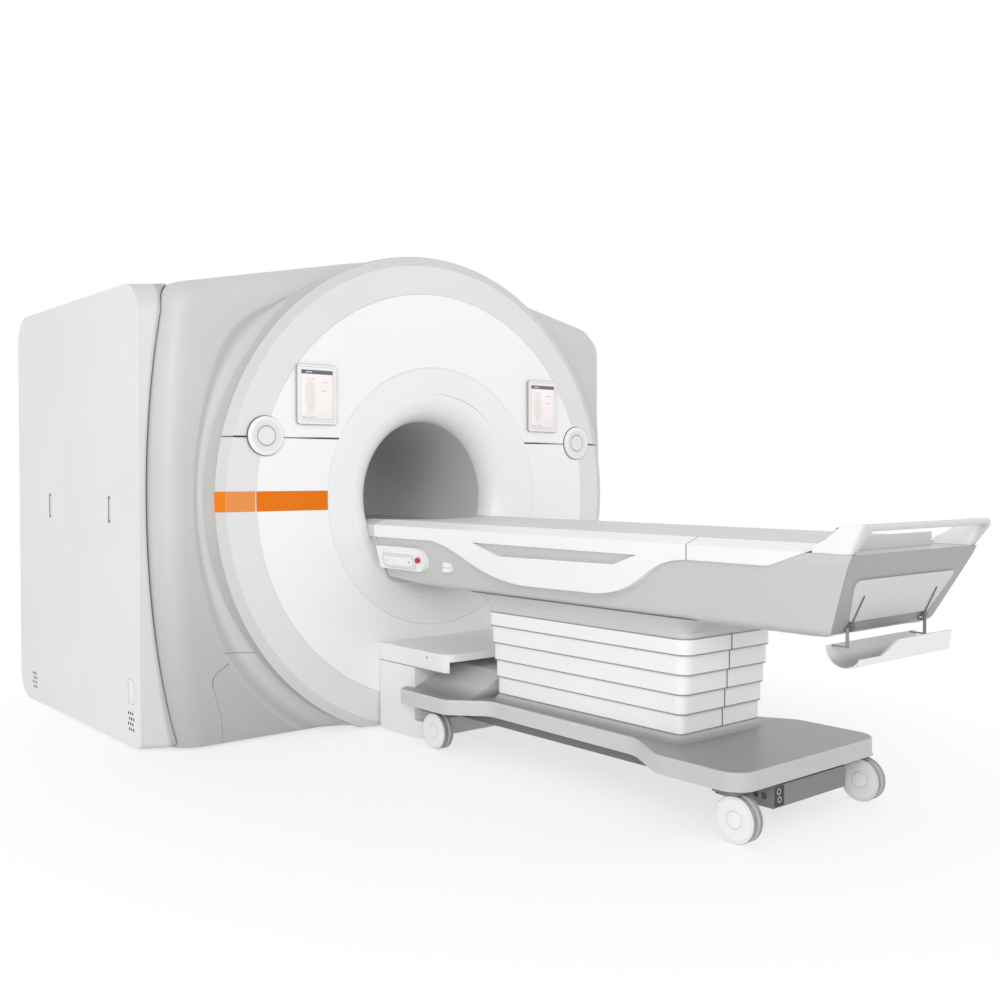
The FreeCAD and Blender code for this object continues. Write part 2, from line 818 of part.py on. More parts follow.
def funnel(name, rim_y, rim_radius, mouth_y, mouth_radius, bore_y, wall):
    """A shallow flare that turns through a quarter into the bore. The wall lies behind it."""
    depth = bore_y - mouth_y
    drop = mouth_radius - s.boreRadius
    turn = (depth * depth + drop * drop) / (drop * 2)
    back = wall if depth.value > 0 else -wall
    sign = 1 if depth.value > 0 else -1
    return ring(name, [
        (rim_y, rim_radius), (mouth_y, mouth_radius), arc_to(bore_y, s.boreRadius, turn * sign),
        (bore_y, s.boreRadius + wall), arc_to(mouth_y + back, mouth_radius, (turn - wall) * -sign),
        (rim_y + back, rim_radius)])


def side_panels():
    """A tray with a bevelled rim, trimmed to a shadow groove round the covers."""
    depth = s.panelFace - s.panelInner
    outside = loft("panelOutside", panel_outline("panelFaceOutline", -s.panelFace, 0, 0),
                   panel_outline("panelBackOutline", -s.panelInner, depth, 0))
    wall = s.panelWall
    inside = loft("panelInside", panel_outline("panelPocketFace", -s.panelFace + wall, wall, wall * 1.5),
                  panel_outline("panelPocketBack", -s.panelInner + wall, depth + wall, wall * 1.5))
    covers = envelope("coverGrown", -s.groove, s.floorGap - 100)
    vents = prism("panelVents", "YZ", -s.panelFace - 5, -s.panelFace + wall + 5, *vent_holes())
    grips = []
    for name, y in (("gripFrontSlot", s.gripFront), ("gripRearSlot", s.gripRear)):
        half = s.gripWidth / 2
        turn = half * 0.9
        grips.append(prism(name, "YZ", -s.panelFace - 5, -s.panelFace + s.gripDepth, [
            corner(y - half, s.gripLow, turn), corner(y + half, s.gripLow, turn),
            corner(y + half, s.gripHigh, turn), corner(y - half, s.gripHigh, turn)]))
    left = node(cut("side_panel_left", outside, inside, covers, vents, *grips))
    node(mirrored("side_panel_right", left))


def panel_outline(name, x, spread, inset):
    """The side panel's outline at one depth: it spreads forwards and back towards the magnet."""
    spread = as_size(spread)
    front = s.panelFront - spread * s.panelFrontBevel / (s.panelFace - s.panelInner) + inset
    rear = s.panelRear + spread * s.panelRearBevel / (s.panelFace - s.panelInner) - inset
    top = s.panelTop + spread * s.panelTopRise / (s.panelFace - s.panelInner) - inset
    turn = s.panelRound - inset
    return sketch_on(name, "YZ", x, [[
        corner(front, s.floorGap + inset, 28), corner(rear, s.floorGap + inset, turn),
        corner(rear, top, turn), corner(front, top, turn)]])


def vent_holes():
    holes = []
    for y in (s.ventFront, s.ventRear):
        for row in range(4):
            for column in range(3):
                stagger = (row % 2) * 0.5 - 0.25
                holes.append(circle(y + (column - 1 + stagger) * s.ventPitch,
                                    s.ventHeight + (row - 1.5) * s.ventPitch, s.ventHole))
    return holes


def ring_covers():
    """Bezel ring and white face, each split along the horizontal seam, and the front funnel."""
    wall = s.coverWall
    bezel = ring("bezelRing", [
        (s.drumFront, s.drumRadius), (s.ringFront, s.ringFlatRadius), (s.faceFront, s.faceRadius),
        (s.faceFront + wall, s.faceRadius), (s.ringFront + wall, s.ringFlatRadius - wall / 2),
        (s.drumFront, s.drumRadius - wall * 2)])
    rim, hub = s.faceRadius - s.slip, s.funnelRadius + s.slip
    face = ring("faceDisc", [
        (s.faceFront, rim), (s.funnelFront, hub), (s.funnelFront + wall, hub), (s.faceFront + wall, rim)])
    far = s.drumRadius + 50
    span = (s.ringFront - 50, s.drumFront + 50)
    half = s.seam / 2
    upper = box("upperZone", (-far, far), span, (s.splitHeight + half, s.axisHeight + far))
    lower = box("lowerZone", (-far, far), span, (s.floorGap, s.splitHeight - half))
    for name, disc in (("bezel_ring", bezel), ("face_cover", face)):
        node(common(name + "_upper", disc, upper))
        node(common(name + "_lower", disc, lower))
    node(funnel("front_funnel", s.funnelFront, s.funnelRadius, s.mouthY, s.mouthRadius, s.funnelBack, wall))


def cover_brackets():
    """Stand-offs between the vacuum vessel and the covers."""
    posts = []
    face_back = s.faceFront + s.coverWall + s.fit
    spread = s.faceRadius - 90
    for name, x, z in (("Left", -0.8, -0.6), ("Right", 0.8, -0.6), ("UpLeft", -0.8, 0.6), ("UpRight", 0.8, 0.6)):
        centre = (spread * x, s.axisHeight + spread * z)
        posts.append(cylinder(f"frontPost{name}", "Y", centre, 14, face_back, -s.vesselReach))
        posts.append(cylinder(f"rearPost{name}", "Y", centre, 14, s.vesselReach,
                              s.wallBack - s.coverWall - s.fit))
    low = s.axisHeight
    edge = s.vesselRadius
    for number, y in enumerate((-300, 300)):
        side = cylinder(f"sidePost{number}", "X", (y, low), 14, -s.panelFace + s.panelWall + s.fit, -edge)
        posts += [side, mirrored(f"sidePostMirror{number}", side)]
        crown = s.crownHeight - s.crownRound * 0.0222 - s.coverWall - s.slip
        posts.append(cylinder(f"roofPost{number}", "Z", (0, y * 1.8), 14, low + edge, crown))
    node(group("cover_brackets", *posts))


def displays():
    """A shallow rounded case with a sunken screen, one each side."""
    half_wide, half_tall = s.displayWidth / 2, s.displayTall / 2
    case = doc.addObject("PartDesign::Body", "displayLeft")
    place(case, -s.displayX, s.displayBack, s.displayHeight)
    outline = body_sketch(case, "displayOutline", "XZ", 0, [[
        corner(-half_wide, -half_tall, 16), corner(half_wide, -half_tall, 16),
        corner(half_wide, half_tall, 16), corner(-half_wide, half_tall, 16)]])
    feature(case, "Pad", "displayCase", outline, Length=s.displayThick)
    wide, tall = half_wide - s.bezelWidth, half_tall - s.bezelWidth
    window = body_sketch(case, "displayWindow", "XZ", -s.displayThick, [[
        corner(-wide, -tall, 6), corner(wide, -tall, 6), corner(wide, tall, 6), corner(-wide, tall, 6)]])
    feature(case, "Pocket", "screen", window, Length=s.screenDepth)
    front = -s.displayThick.value
    rounded_edges(case, "displayRim", 2.5, lambda spot: abs(spot.y - front) < 0.01
                  and (abs(spot.x) > wide.value + 1 or abs(spot.z) > tall.value + 1))
    node(group("displays", case, mirrored("displayRight", case)))


def dials():
    """A round turning ring with a push button in its middle, on each side of the face."""
    back, front = s.dialBack - s.fit, s.dialBack - s.dialThick
    bore = s.buttonRadius + s.slip
    for side, name in ((-1, "left"), (1, "right")):
        centre = (s.dialX * side, 0, s.dialHeight)
        node(turned(f"dial_ring_{name}", "Y", centre, [
            (back, bore), (back, s.dialRadius), (front + 5, s.dialRadius), (front, s.dialRadius - 5),
            (front, bore + 6), (front + 2, bore)]))
        node(turned(f"dial_button_{name}", "Y", centre, [
            (back - s.buttonTravel, 0), (back - s.buttonTravel, s.buttonRadius),
            (front - 1, s.buttonRadius), (front - 3, s.buttonRadius - 4), (front - 2, 0)]))


def accent_stripe():
    """Three thin coloured fields on the left of the ring and face."""
    gap, thick = s.fit, s.stripeThick
    near, far = gap, gap + thick
    chamfer = ring("stripeRing", [
        (s.drumFront - near, s.drumRadius + near), (s.ringFront - near, s.ringFlatRadius),
        (s.faceFront - near, s.faceRadius), (s.faceFront - far, s.faceRadius),
        (s.ringFront - far, s.ringFlatRadius + near), (s.drumFront - far, s.drumRadius + far)])
    face = ring("stripeFace", [
        (s.faceFront - near, s.faceRadius), (s.funnelFront - near, s.funnelRadius),
        (s.funnelFront - far, s.funnelRadius), (s.faceFront - far, s.faceRadius)])
    depth = (s.funnelFront - 20, s.drumFront + 20)
    tall = (s.stripeLow, s.stripeHigh)
    rim = s.drumRadius + 20
    edge = s.ringFlatRadius + 7
    dark = common("stripeDark", chamfer, box("stripeDarkZone", (-rim, -edge), depth, tall))
    light = common("stripeLight", chamfer, box("stripeLightZone", (-edge + s.fit, -s.faceRadius - 6), depth, tall))
    wide = common("stripeWide", face, box("stripeWideZone", (-s.faceRadius - 2, -s.funnelRadius), depth, tall))
    node(group("accent_stripe", dark, light, wide))


# ---------------------------------------------------------------- bore floor

def hull_outline(grow, top):
    """Half of the table hull's section, mirrored: upright side, leaning bilge and flat keel."""
    half, bilge, keel = s.hullHalf + grow, s.bilgeHalf + grow, s.keelHalf + grow
    low = s.keelHeight - grow
    return [
        (-half, top), corner(-half, s.hullShoulder, 40), corner(-bilge, s.bilgeHeight - grow, 45),
        corner(-keel, low, 60), corner(keel, low, 60), corner(bilge, s.bilgeHeight - grow, 45),
        corner(half, s.hullShoulder, 40), (half, top)]


def bore_floor():
    """The bridge in the bore that the tabletop runs on, and its nose in the funnel."""
    radius = s.boreRadius - s.fit
    inner = radius - 8
    length = (s.funnelBack - 20, s.linerReach - 5)
    tube = cylinder("floorRound", "Y", (0, s.axisHeight), radius, *length)
    below = box("floorBelow", (-radius, radius), length, (s.axisHeight - radius - 5, s.deck))
    hollow = cylinder("floorHollow", "Y", (0, s.axisHeight), inner, *length)
    under = box("floorUnder", (-radius, radius), length, (s.axisHeight - radius - 5, s.deck - 10))
    bridge = cut("floorBridge", common("floorSegment", tube, below), common("floorDuct", hollow, under))

    start, stop = s.hullHead + 3, s.funnelBack - 15
    section = fuse("noseBody", prism("noseSection", "XZ", start, stop, hull_outline(0, s.deck)),
                   rim_section("noseRim", s.railHalf - 2, start, stop))
    depth = s.funnelBack - s.mouthY
    drop = s.mouthRadius - s.boreRadius
    turn = (depth * depth + drop * drop) / (drop * 2)
    inside = ring("noseLimit", [
        (s.funnelFront - 10, 0), (s.funnelFront - 10, s.mouthRadius - 1), (s.mouthY, s.mouthRadius - 1),
        arc_to(s.funnelBack, s.boreRadius - 1, turn), (s.funnelBack, 0)])
    node(fuse("bore_floor", bridge, common("noseBlock", section, inside)))


# ---------------------------------------------------------------- dock

def dock():
    half, back, wall = s.dockHalf, s.dockBack, s.dockWall
    turn = s.plinthRound
    column = box("dockColumn", (-half, half), (s.dockFace, back), (s.floorGap, s.cavityTop))
    plinth = prism("dockPlinth", "XY", s.floorGap, s.plinthTop, [
        (-half, back), corner(-half, s.plinthFront, turn), corner(half, s.plinthFront, turn), (half, back)])
    hollow = box("dockHollow", (-half + wall, half - wall), (s.dockFace + wall, back + 5),
                 (s.floorGap - 5, s.cavityTop - wall))
    node(cut("dock_pedestal", fuse("dockBlock", column, plinth), hollow))

    low = s.cavityTop + s.fit
    slab = prism("shelfSlab", "XY", low, s.shelfTop, [
        (-half, back), corner(-half, s.shelfFront, s.shelfRound), corner(half, s.shelfFront, s.shelfRound),
        (half, back)])
    inner = half - s.cheekWidth
    relief = box("shelfRelief", (-inner, inner), (s.shelfFront - 5, s.dockFace - wall), (low - 5, s.shelfLip))
    pocket = box("shelfPocket", (-inner, inner), (s.dockFace + wall, back - wall * 2),
                 (low - 5, s.shelfTop - wall))
    node(cut("dock_shelf", slab, relief, pocket))


# ---------------------------------------------------------------- trolley

def base_cover():
    """The waisted floor plate, notched round the dock, with a ramp under the bands and a tongue."""
    left = [
        corner(-s.baseHalf, s.baseFoot, s.baseRound), corner(-s.baseHalf, s.flareFoot, 120),
        corner(-s.waistHalf - 14, s.waistFoot, 150), corner(-s.waistHalf, s.waistHead, 90),
        corner(-s.baseHalf, s.flareHead, 80), corner(-s.baseHalf, s.prongTip, 50),
        (-s.notchHalf, s.prongTip), (-s.notchHalf, s.notchFace)]
    plate = doc.addObject("PartDesign::Body", "basePlate")
    outline = body_sketch(plate, "basePlateOutline", "XY", s.baseLow, [left[::-1] + mirror_points(left)])
    feature(plate, "Pad", "basePlatePad", outline, Length=s.baseHigh - s.baseLow)
    top = s.baseHigh.value
    rounded_edges(plate, "basePlateEdge", 8, lambda spot: abs(spot.z - top) < 0.01)

    inset = s.bandStep * 4 - s.bandWall
    wide, head, foot = s.bandHalf - inset, s.bandHead - s.bandEndStep * 4, s.bandFoot + s.bandEndStep * 4
    spread = s.rampSpread
    ramp = loft("baseRamp",
                sketch_on("rampFoot", "XY", s.baseHigh - 2, [rounded_rectangle(wide + spread, foot - spread,
                                                                              head + spread, 60)]),
                sketch_on("rampHead", "XY", s.rampTop, [rounded_rectangle(wide, foot, head, 40)]))
    tip = s.dockFace - s.fit
    low, high, side, crest = s.baseHigh - 4, s.tongueTop, s.notchHalf - s.seam, s.tongueHalf
    tongue = loft("baseTongue",
                  sketch_on("tongueFoot", "XY", low, [[(-side, tip), (-side, s.tongueRear), (side, s.tongueRear),
                                                       (side, tip)]]),
                  sketch_on("tongueHead", "XY", high, [[(-crest, tip - 55), (-crest, s.tongueRear),
                                                        (crest, s.tongueRear), (crest, tip - 55)]]))
    well = box("baseWell", (-s.columnHalf - 1, s.columnHalf + 1), (s.columnFoot - 1, s.columnHead + 1),
               (s.baseLow - 5, s.rampTop + 5))
    ceiling = s.baseHigh - s.coverWall * 2
    inner = s.chassisHalf - s.railWidth
    pockets = [box(f"basePocket{number}", (-inner, inner), span, (s.baseLow - 5, ceiling))
               for number, span in enumerate(((-1890, -1340), (-2640, -2250)))]
    node(cut("base_cover", fuse("baseSolid", plate, ramp, tongue), well, *pockets))


def mirror_points(points):
    """The same outline points on the other side of u = 0, in reverse order of travel."""
    return [(point[0], -point[1]) + tuple(point[2:]) if isinstance(point[0], str)
            else (-point[0], point[1]) for point in points]


def rounded_rectangle(half, low, high, radius):
    return [corner(-half, low, radius), corner(half, low, radius), corner(half, high, radius),
            corner(-half, high, radius)]


def chassis():
    """Ladder frame with flat ears for the castors and a well for the lift column."""
    half, inner = s.chassisHalf, s.chassisHalf - s.railWidth
    column = s.columnHalf - s.columnWall + 1
    windows = [
        rectangle(-inner, inner, -1880, s.chassisHead - s.railWidth),
        rectangle(-inner, inner, s.chassisFoot + s.railWidth, -2260),
        rectangle(-column, column, s.columnFoot + s.columnWall - 1, s.columnHead - s.columnWall + 1)]
    top = s.baseLow - s.fit
    ladder = prism("chassisLadder", "XY", s.chassisLow, top,
                   rectangle(-half, half, s.chassisFoot, s.chassisHead), *windows)
    low = top - s.plateThick
    tail = box("chassisTail", (-half, half), (s.batteryFront + 10, s.chassisFoot + 5), (low, top))
    ears, holes = [], []
    for name, y in (("Head", s.wheelHeadY), ("Foot", s.wheelFootY)):
        stem = y + s.castorTrail
        for side in (-1, 1):
            reach = sorted((s.earHalf * side, inner * side), key=lambda size: size.value)
            ears.append(box(f"ear{name}{side + 1}", reach, (stem - s.earDepth, stem + s.earDepth), (low, top)))
            holes.append(cylinder(f"earHole{name}{side + 1}", "Z", (s.wheelX * side, stem),
                                  s.stemRadius + s.fit, low - 5, top + 5))
    node(cut("chassis", fuse("chassisSolid", ladder, tail, *ears), *holes))


def rectangle(left, right, low, high):
    return [(left, low), (right, low), (right, high), (left, high)]


def battery_box():
    top = s.baseLow - s.fit * 2 - s.plateThick
    case = prism("batteryCase", "YZ", -s.batteryHalf, s.batteryHalf, [
        corner(s.batteryFront, s.batteryLow, 4), corner(s.batteryBack, s.batteryLow, 4),
        (s.batteryBack, top), (s.batteryFront, top)])
    sockets = [cylinder(f"socket{number}", "X", (s.batteryFront + 40 + number * 32, s.batteryLow + 36),
                        11, -s.batteryHalf - 5, -s.batteryHalf + 12) for number in range(2)]
    node(cut("battery_box", case, *sockets))


def castors():
    """Twin-wheel castors: the wheels hang behind their swivel stems."""
    half, gap, tyre, hub, axle = s.wheelHalf, s.wheelGap, s.wheelRadius, s.hubRadius, s.axleRadius
    right = [(gap, axle), (gap, tyre), corner(half - 1, tyre, 4), (half - 1.5, tyre * 0.85),
             (half - 3, hub + 2), (half, hub), (half, 0)]
    left = [((item[0], -item[1]) + tuple(item[2:])) if isinstance(item[0], str) else (-item[0], item[1])
            for item in right[::-1]]
    low = s.wheelRadius * 2 + s.fit
    plate = s.baseLow - s.fit - s.plateThick
    trail = s.castorTrail
    for end, y in (("head", s.wheelHeadY), ("foot", s.wheelFootY)):
        for side, hand in ((-1, "left"), (1, "right")):
            tag = f"{end}_{hand}"
            x = s.wheelX * side
            node(turned(f"castor_wheel_{tag}", "X", (x, y, s.wheelRadius), left + right))
            web = prism(f"castorWeb_{tag}", "YZ", x - s.webHalf, x + s.webHalf, [
                corner(-21, -18, 15), corner(22, -18, 15), (trail + 22, low - s.wheelRadius),
                (trail - 22, low - s.wheelRadius)], base=(y, s.wheelRadius))
            bore = cylinder(f"castorBore_{tag}", "X", (y, s.wheelRadius), axle + s.fit, x - 10, x + 10)
            cap = cylinder(f"castorCap_{tag}", "Z", (x, y + trail), 26, low, plate - s.fit)
            stem = cylinder(f"castorStem_{tag}", "Z", (x, y + trail), s.stemRadius, low, s.baseLow - s.fit)
            node(fuse(f"castor_fork_{tag}", cut(f"castorArm_{tag}", web, bore), cap, stem))


# ---------------------------------------------------------------- lift

def lift_bands():
    """Five sleeves, each a little smaller than the one above and lapping up inside it."""
    pitch = (s.bandTop - s.bandFirst - s.bandBottom) / 4
    for number in range(5):
        half = s.bandHalf - s.bandStep * number
        head = s.bandHead - s.bandEndStep * number
        foot = s.bandFoot + s.bandEndStep * number
        turn = s.bandRound - s.bandStep * number
        wall = s.bandWall
        top = s.bandTop - s.fit if number == 0 else s.bandTop - s.bandFirst - pitch * (number - 1) + s.bandLip
        low = s.bandTop - s.bandFirst - pitch * number
        low = low + s.fit if number < 4 else low
        sleeve = prism(f"bandSleeve{number}", "XY", low, top, rounded_rectangle(half, foot, head, turn),
                       rounded_rectangle(half - wall, foot + wall, head - wall, turn - wall))
        split = box(f"bandSplit{number}", (-1.5, 1.5), (foot - 5, foot + 2), (low - 5, top + 5))
        node(cut(f"lift_band_{number + 1}", sleeve, split))


def lift_column():
    half, head, foot, wall = s.columnHalf, s.columnHead, s.columnFoot, s.columnWall
    node(prism("column_outer", "XY", s.baseLow, s.columnTop, rounded_rectangle(half, foot, head, 14),
               rounded_rectangle(half - wall, foot + wall, head - wall, 6)))
    lean = wall + s.slip
    low, top = s.columnTop - s.columnLap, s.keelHeight - s.fit
    node(prism("column_inner", "XY", low, top,
               rounded_rectangle(half - lean, foot + lean, head - lean, 5.4),
               rounded_rectangle(half - lean * 2, foot + lean * 2, head - lean * 2, 3)))


# ---------------------------------------------------------------- table

def table_hull():
    start, stop = s.hullFoot - 20, s.hullHead + 20
    section = prism("hullSection", "XZ", start, stop, hull_outline(0, s.deck))
    foot_low = s.hullFoot + (s.deck - s.bilgeHeight) * s.footLean
    side = prism("hullSide", "YZ", -s.hullHalf - 5, s.hullHalf + 5, [
        (s.hullHead, s.frameLow - s.fit), corner(s.hullHeadLow, s.bilgeHeight + 22, 14),
        (-1240, s.keelHeight + 10), (-1500, s.keelHeight - 15), (-2960, s.keelHeight - 15),
        corner(foot_low, s.bilgeHeight, 50), (s.hullFoot, s.deck), (s.frameSeam, s.deck),
        (s.frameSeam, s.frameLow - s.fit)])
    wall = s.hullWall
    cavity = prism("hullCavity", "XZ", s.hullFoot + 130, s.hullHead - 45, hull_outline(-wall, s.deck - wall))
    floor = s.keelHeight + wall + 4
    clear = box("hullClear", (-s.hullHalf, s.hullHalf), (s.hullFoot + 125, s.frameSeam - wall),
                (floor, s.deck))
    clear_head = box("hullClearHead", (-s.hullHalf, s.hullHalf), (s.frameSeam - wall, s.hullHead - 40),
                     (floor + 25, s.frameLow - wall))
    space = common("hullSpace", cavity, fuse("hullRoom", clear, clear_head))
    cable = cylinder("hullCable", "Z", (0, (s.columnHead + s.columnFoot) / 2), 60, s.bandTop - 5, floor + 5)
    shell = common("hullShell", section, side)
    neck = neck_flare()
    inset = s.bandWall
    neck_space = prism("neckSpace", "XY", s.bandTop - 5, s.keelHeight, rounded_rectangle(
        s.bandHalf - inset, s.bandFoot + inset, s.bandHead - inset, s.bandRound - inset))
    node(cut("table_hull", fuse("hullSolid", shell, neck), space, neck_space, cable))


def neck_flare():
    """The hull's neck: as wide as the top band below, and sweeping out into the hull's underside."""
    half, head, foot, turn = s.bandHalf, s.bandHead, s.bandFoot, s.bandRound
    heights = (s.bandTop, s.bandTop + 16, s.keelHeight - 22, s.keelHeight - 2, s.keelHeight + 12)
    spreads = ((0, 0), (0, 0), (6, 14), (18, 48), (30, 100))
    levels = []
    for number, (height, (wide, far)) in enumerate(zip(heights, spreads)):
        outline = rounded_rectangle(half + wide, foot - far, head + far, turn + far / 4)
        levels.append(sketch_on(f"neckLevel{number}", "XY", height, [outline]))
    return loft("neckFlare", *levels)


def grown_hull(name):
    return prism(name, "XZ", s.hullFoot - 20, s.hullHead + 20, hull_outline(s.fit, s.deck + s.fit))


def rim_section(name, half, start, stop):
    """Section of the white frame: an upright face, a slope inwards and the tabletop's groove."""
    return prism(name, "XZ", start, stop, [
        (-half, s.frameLow), (half, s.frameLow), (half, s.railShoulder), (s.rimHalf, s.rimTop),
        (s.rimHalf, s.deck), (-s.rimHalf, s.deck), (-s.rimHalf, s.rimTop), (-half, s.railShoulder)])


def head_frame():
    half = s.railHalf - 2
    start, stop = s.frameSeam + s.slip, s.hullHead
    bar = rim_section("frameBar", half, start, stop)
    plan = prism("framePlan", "XY", s.frameLow, s.rimTop, [
        (-half, start), (half, start), (half, stop), (-half, stop)])
    hollow = box("frameHollow", (-half + 12, half - 12), (start + 12, stop - 14), (s.frameLow - 5, s.deck - 8))
    node(cut("head_frame", common("frameSolid", bar, plan), hollow))


def side_rails():
    """White side arm with a hand-hold slot, and the shorter rail behind it."""
    outer, inner = s.railHalf, s.bilgeHalf
    section = prism("railSection", "XZ", s.railEnd, s.frameSeam, [
        (-outer, s.frameLow - 10), (-outer + 14, s.railLow - 6), (-inner + 20, s.railLow - 6),
        (-inner + 20, s.deck + s.fit), (-s.rimHalf, s.deck + s.fit), (-s.rimHalf, s.rimTop),
        (-outer, s.railShoulder)])
    high = s.rimTop + 5
    low = s.frameLow
    arm = prism("railArm", "YZ", -outer - 5, -inner + 25, [
        (s.frameSeam, low), (s.frameSeam, high), (s.railSeam, high), (s.railSeam, low + 2),
        corner(-2610, low, 300), corner(-2400, s.railLow + 6, 450), corner(-1760, s.railLow, 900),
        corner(-1440, low - 17, 700)])
    tail = prism("railTail", "YZ", -outer - 5, -inner + 25, [
        (s.railSeam - s.seam, low + 3), (s.railSeam - s.seam, high), (s.railEnd, high),
        (s.railEnd, s.railShoulder + 3), corner(-3020, low + 3, 90)])
    slot = prism("railSlot", "YZ", -outer - 5, -inner + 25, [
        (-1612, s.slotTop), (-2490, s.slotTop), corner(-2380, s.slotLow + 8, 60), corner(-1765, s.slotLow, 60)])
    hull = grown_hull("railHull")
    front = cut("railFront", common("railFrontBlock", section, arm), slot, hull)
    rear = cut("railRear", common("railRearBlock", section, tail), hull)
    left = node(group("side_rail_left", front, rear))
    node(mirrored("side_rail_right", left))


def foot_handle():
    """The push handle: two wings rising from the hull's sides to a bar across the foot end."""
    top, end = s.handleTop, s.handleEnd
    low = s.deck + s.fit
    start = s.railEnd - s.seam
    wing = prism("handleWing", "YZ", -s.handleOuter, -s.handleOuter + s.handleThick, [
        (start, low), (start, s.rimTop - 6), corner(start - 62, s.rimTop + 24, 120),
        corner(end + 96, top, 90), corner(end, top, 9), corner(end, top - 22, 9),
        corner(s.hullFoot + 6, low, 8)])
    bar = prism("handleBarBlock", "YZ", -s.handleOuter, s.handleOuter, [
        corner(end, top - 20, 9), corner(end + s.handleBar, top - 20, 9),
        corner(end + s.handleBar, top, 9), corner(end, top, 9)])
    node(fuse("foot_handle", bar, wing, mirrored("handleWingRight", wing)))


def tabletop():
    """The long board, dished along its middle, with a raised lip at the foot."""
    low, half = s.deck + s.fit, s.boardHalf
    board = prism("boardBody", "XZ", s.boardFoot, s.boardHead, [
        (-half, low), (half, low), (half, s.boardEdge), arc_to(-half, s.boardEdge, -s.boardDish)])
    lip = prism("boardLipWedge", "YZ", -half, half, [
        (s.boardFoot, low + 5), (s.boardFoot + 120, low + 5), (s.boardFoot + 120, s.boardEdge - 6),
        arc_to(s.boardFoot + 12, s.boardLip, -200), (s.boardFoot, s.boardLip)])
    plan = prism("boardPlan", "XY", low - 5, s.boardLip + 5,
                 [corner(-half, s.boardFoot, 40), corner(half, s.boardFoot, 40),
                  corner(half, s.boardHead, 60), corner(-half, s.boardHead, 60)])
    node(common("tabletop", fuse("boardSolid", board, lip), plan))


def foot_plane(height):
    """The y of the hull's leaning foot end at a height."""
    return s.hullFoot + (s.deck - height) * s.footLean


def end_panel():
    """The light panel on the foot end, with the two tray stays and their hinge blocks."""
    near, far = s.fit, s.fit + s.endPanelThick
    outline = prism("endOutline", "XZ", s.hullFoot - 60, s.pivotY + 60, [
        corner(-s.endPanelLowHalf, s.endPanelLow, 18), corner(s.endPanelLowHalf, s.endPanelLow, 18),
        corner(s.endPanelTopHalf, s.endPanelTop, 18), corner(-s.endPanelTopHalf, s.endPanelTop, 18)])
    low, high = s.endPanelLow - 10, s.endPanelTop + 10
    slab = prism("endSlab", "YZ", -s.hullHalf, s.hullHalf, [
        (foot_plane(low) - near, low), (foot_plane(low) - far, low),
        (foot_plane(high) - far, high), (foot_plane(high) - near, high)])
    panel = common("endPlate", outline, slab)
    blocks = []
    for side in (-1, 1):
        x = s.pivotX * side
        blocks.append(prism(f"hingeBlock{side + 1}", "YZ", x - 9, x + 9, [
            (foot_plane(s.pivotHeight - 10) - near, s.pivotHeight - 10),
            (foot_plane(s.pivotHeight + 16) - near, s.pivotHeight + 16),
            corner(foot_plane(s.pivotHeight + 16) - 18, s.pivotHeight + 16, 6),
            corner(foot_plane(s.pivotHeight - 10) - 16, s.pivotHeight - 10, 6)]))
        blocks.append(stay(f"stay{side + 1}", x))
    pins = [cylinder(f"pinHole{side + 1}", "X", (s.pivotY - 4, s.pivotHeight), s.rodRadius + s.fit,
                     s.pivotX * side - 12, s.pivotX * side + 12) for side in (-1, 1)]
    solids = [blocks[0], blocks[2]]
    hinges = [cut(f"hinge{number}", fuse(f"hingeStay{number}", block, blocks[number * 2 + 1]), pins[number])
              for number, block in enumerate(solids)]
    node(group("end_panel", panel, *hinges))


def stay(name, x):
    """A thin strip that runs up the panel from a hinge block."""
    far = s.fit * 2 + s.endPanelThick
    low, high = s.pivotHeight + 10, s.pivotHeight + 100
    return prism(name, "YZ", x - 2.5, x + 2.5, [
        (foot_plane(low) - far, low), (foot_plane(low) - far - 3, low),
        (foot_plane(high) - far - 3, high), (foot_plane(high) - far, high)])


def tray():
    """The gutter under the foot end: a rolled trough on two bent arms, with a stepped lip."""
    y, z, radius, wall = s.gutterY, s.gutterHeight, s.gutterRadius, s.gutterWall
    inner = radius - wall
    rise = 30
    run = root(radius * radius - rise * rise)
    run_in = root(inner * inner - rise * rise)
    trough = prism("trayTrough", "YZ", -s.gutterHalf, s.gutterHalf, [
        arc_to(y + radius, z, radius), (y + inner, z), arc_to(y - run_in, z - rise, -inner),
        (y - run, z - rise)])
    lip = prism("trayLip", "XZ", y - run - wall * 4, y - run + wall * 3, [
        (-s.gutterHalf, z - rise - 18), (s.gutterHalf, z - rise - 18), (s.gutterHalf, z + 14),
        corner(-55, z + 14, 20), corner(-142, z - rise + 2, 20), (-s.gutterHalf, z - rise + 2)])
    lip_slab = prism("trayLipSlab", "YZ", -s.gutterHalf, s.gutterHalf, [
        (y - run + wall + 6, z - rise - 18), (y - run + 1, z - rise - 18), (y - run - wall - 6, z + 20),
        (y - run - 2, z + 20)])
    front = common("trayFront", lip, lip_slab)
    arms = []
    pivot_y = s.pivotY - 4
    for side in (-1, 1):
        x = s.pivotX * side
        pin = cylinder(f"trayPin{side + 1}", "X", (pivot_y, s.pivotHeight), s.rodRadius, x - 16, x + 16)
        outside = x + side * 13.5
        arms.append(prism(f"trayArm{side + 1}", "YZ", outside - 2, outside + 2, [
            corner(pivot_y - 5, s.pivotHeight + 5, 4), corner(pivot_y - 5, z - 6, 3),
            corner(pivot_y + 5, z - 6, 3), corner(pivot_y + 5, s.pivotHeight + 5, 4)]))
        bridge = box(f"trayBridge{side + 1}", (outside - 4, outside + 4), (pivot_y - 5, y + radius - 1),
                     (z - 6, z - 1))
        arms += [pin, bridge]
    node(fuse("tray", trough, front, *arms))


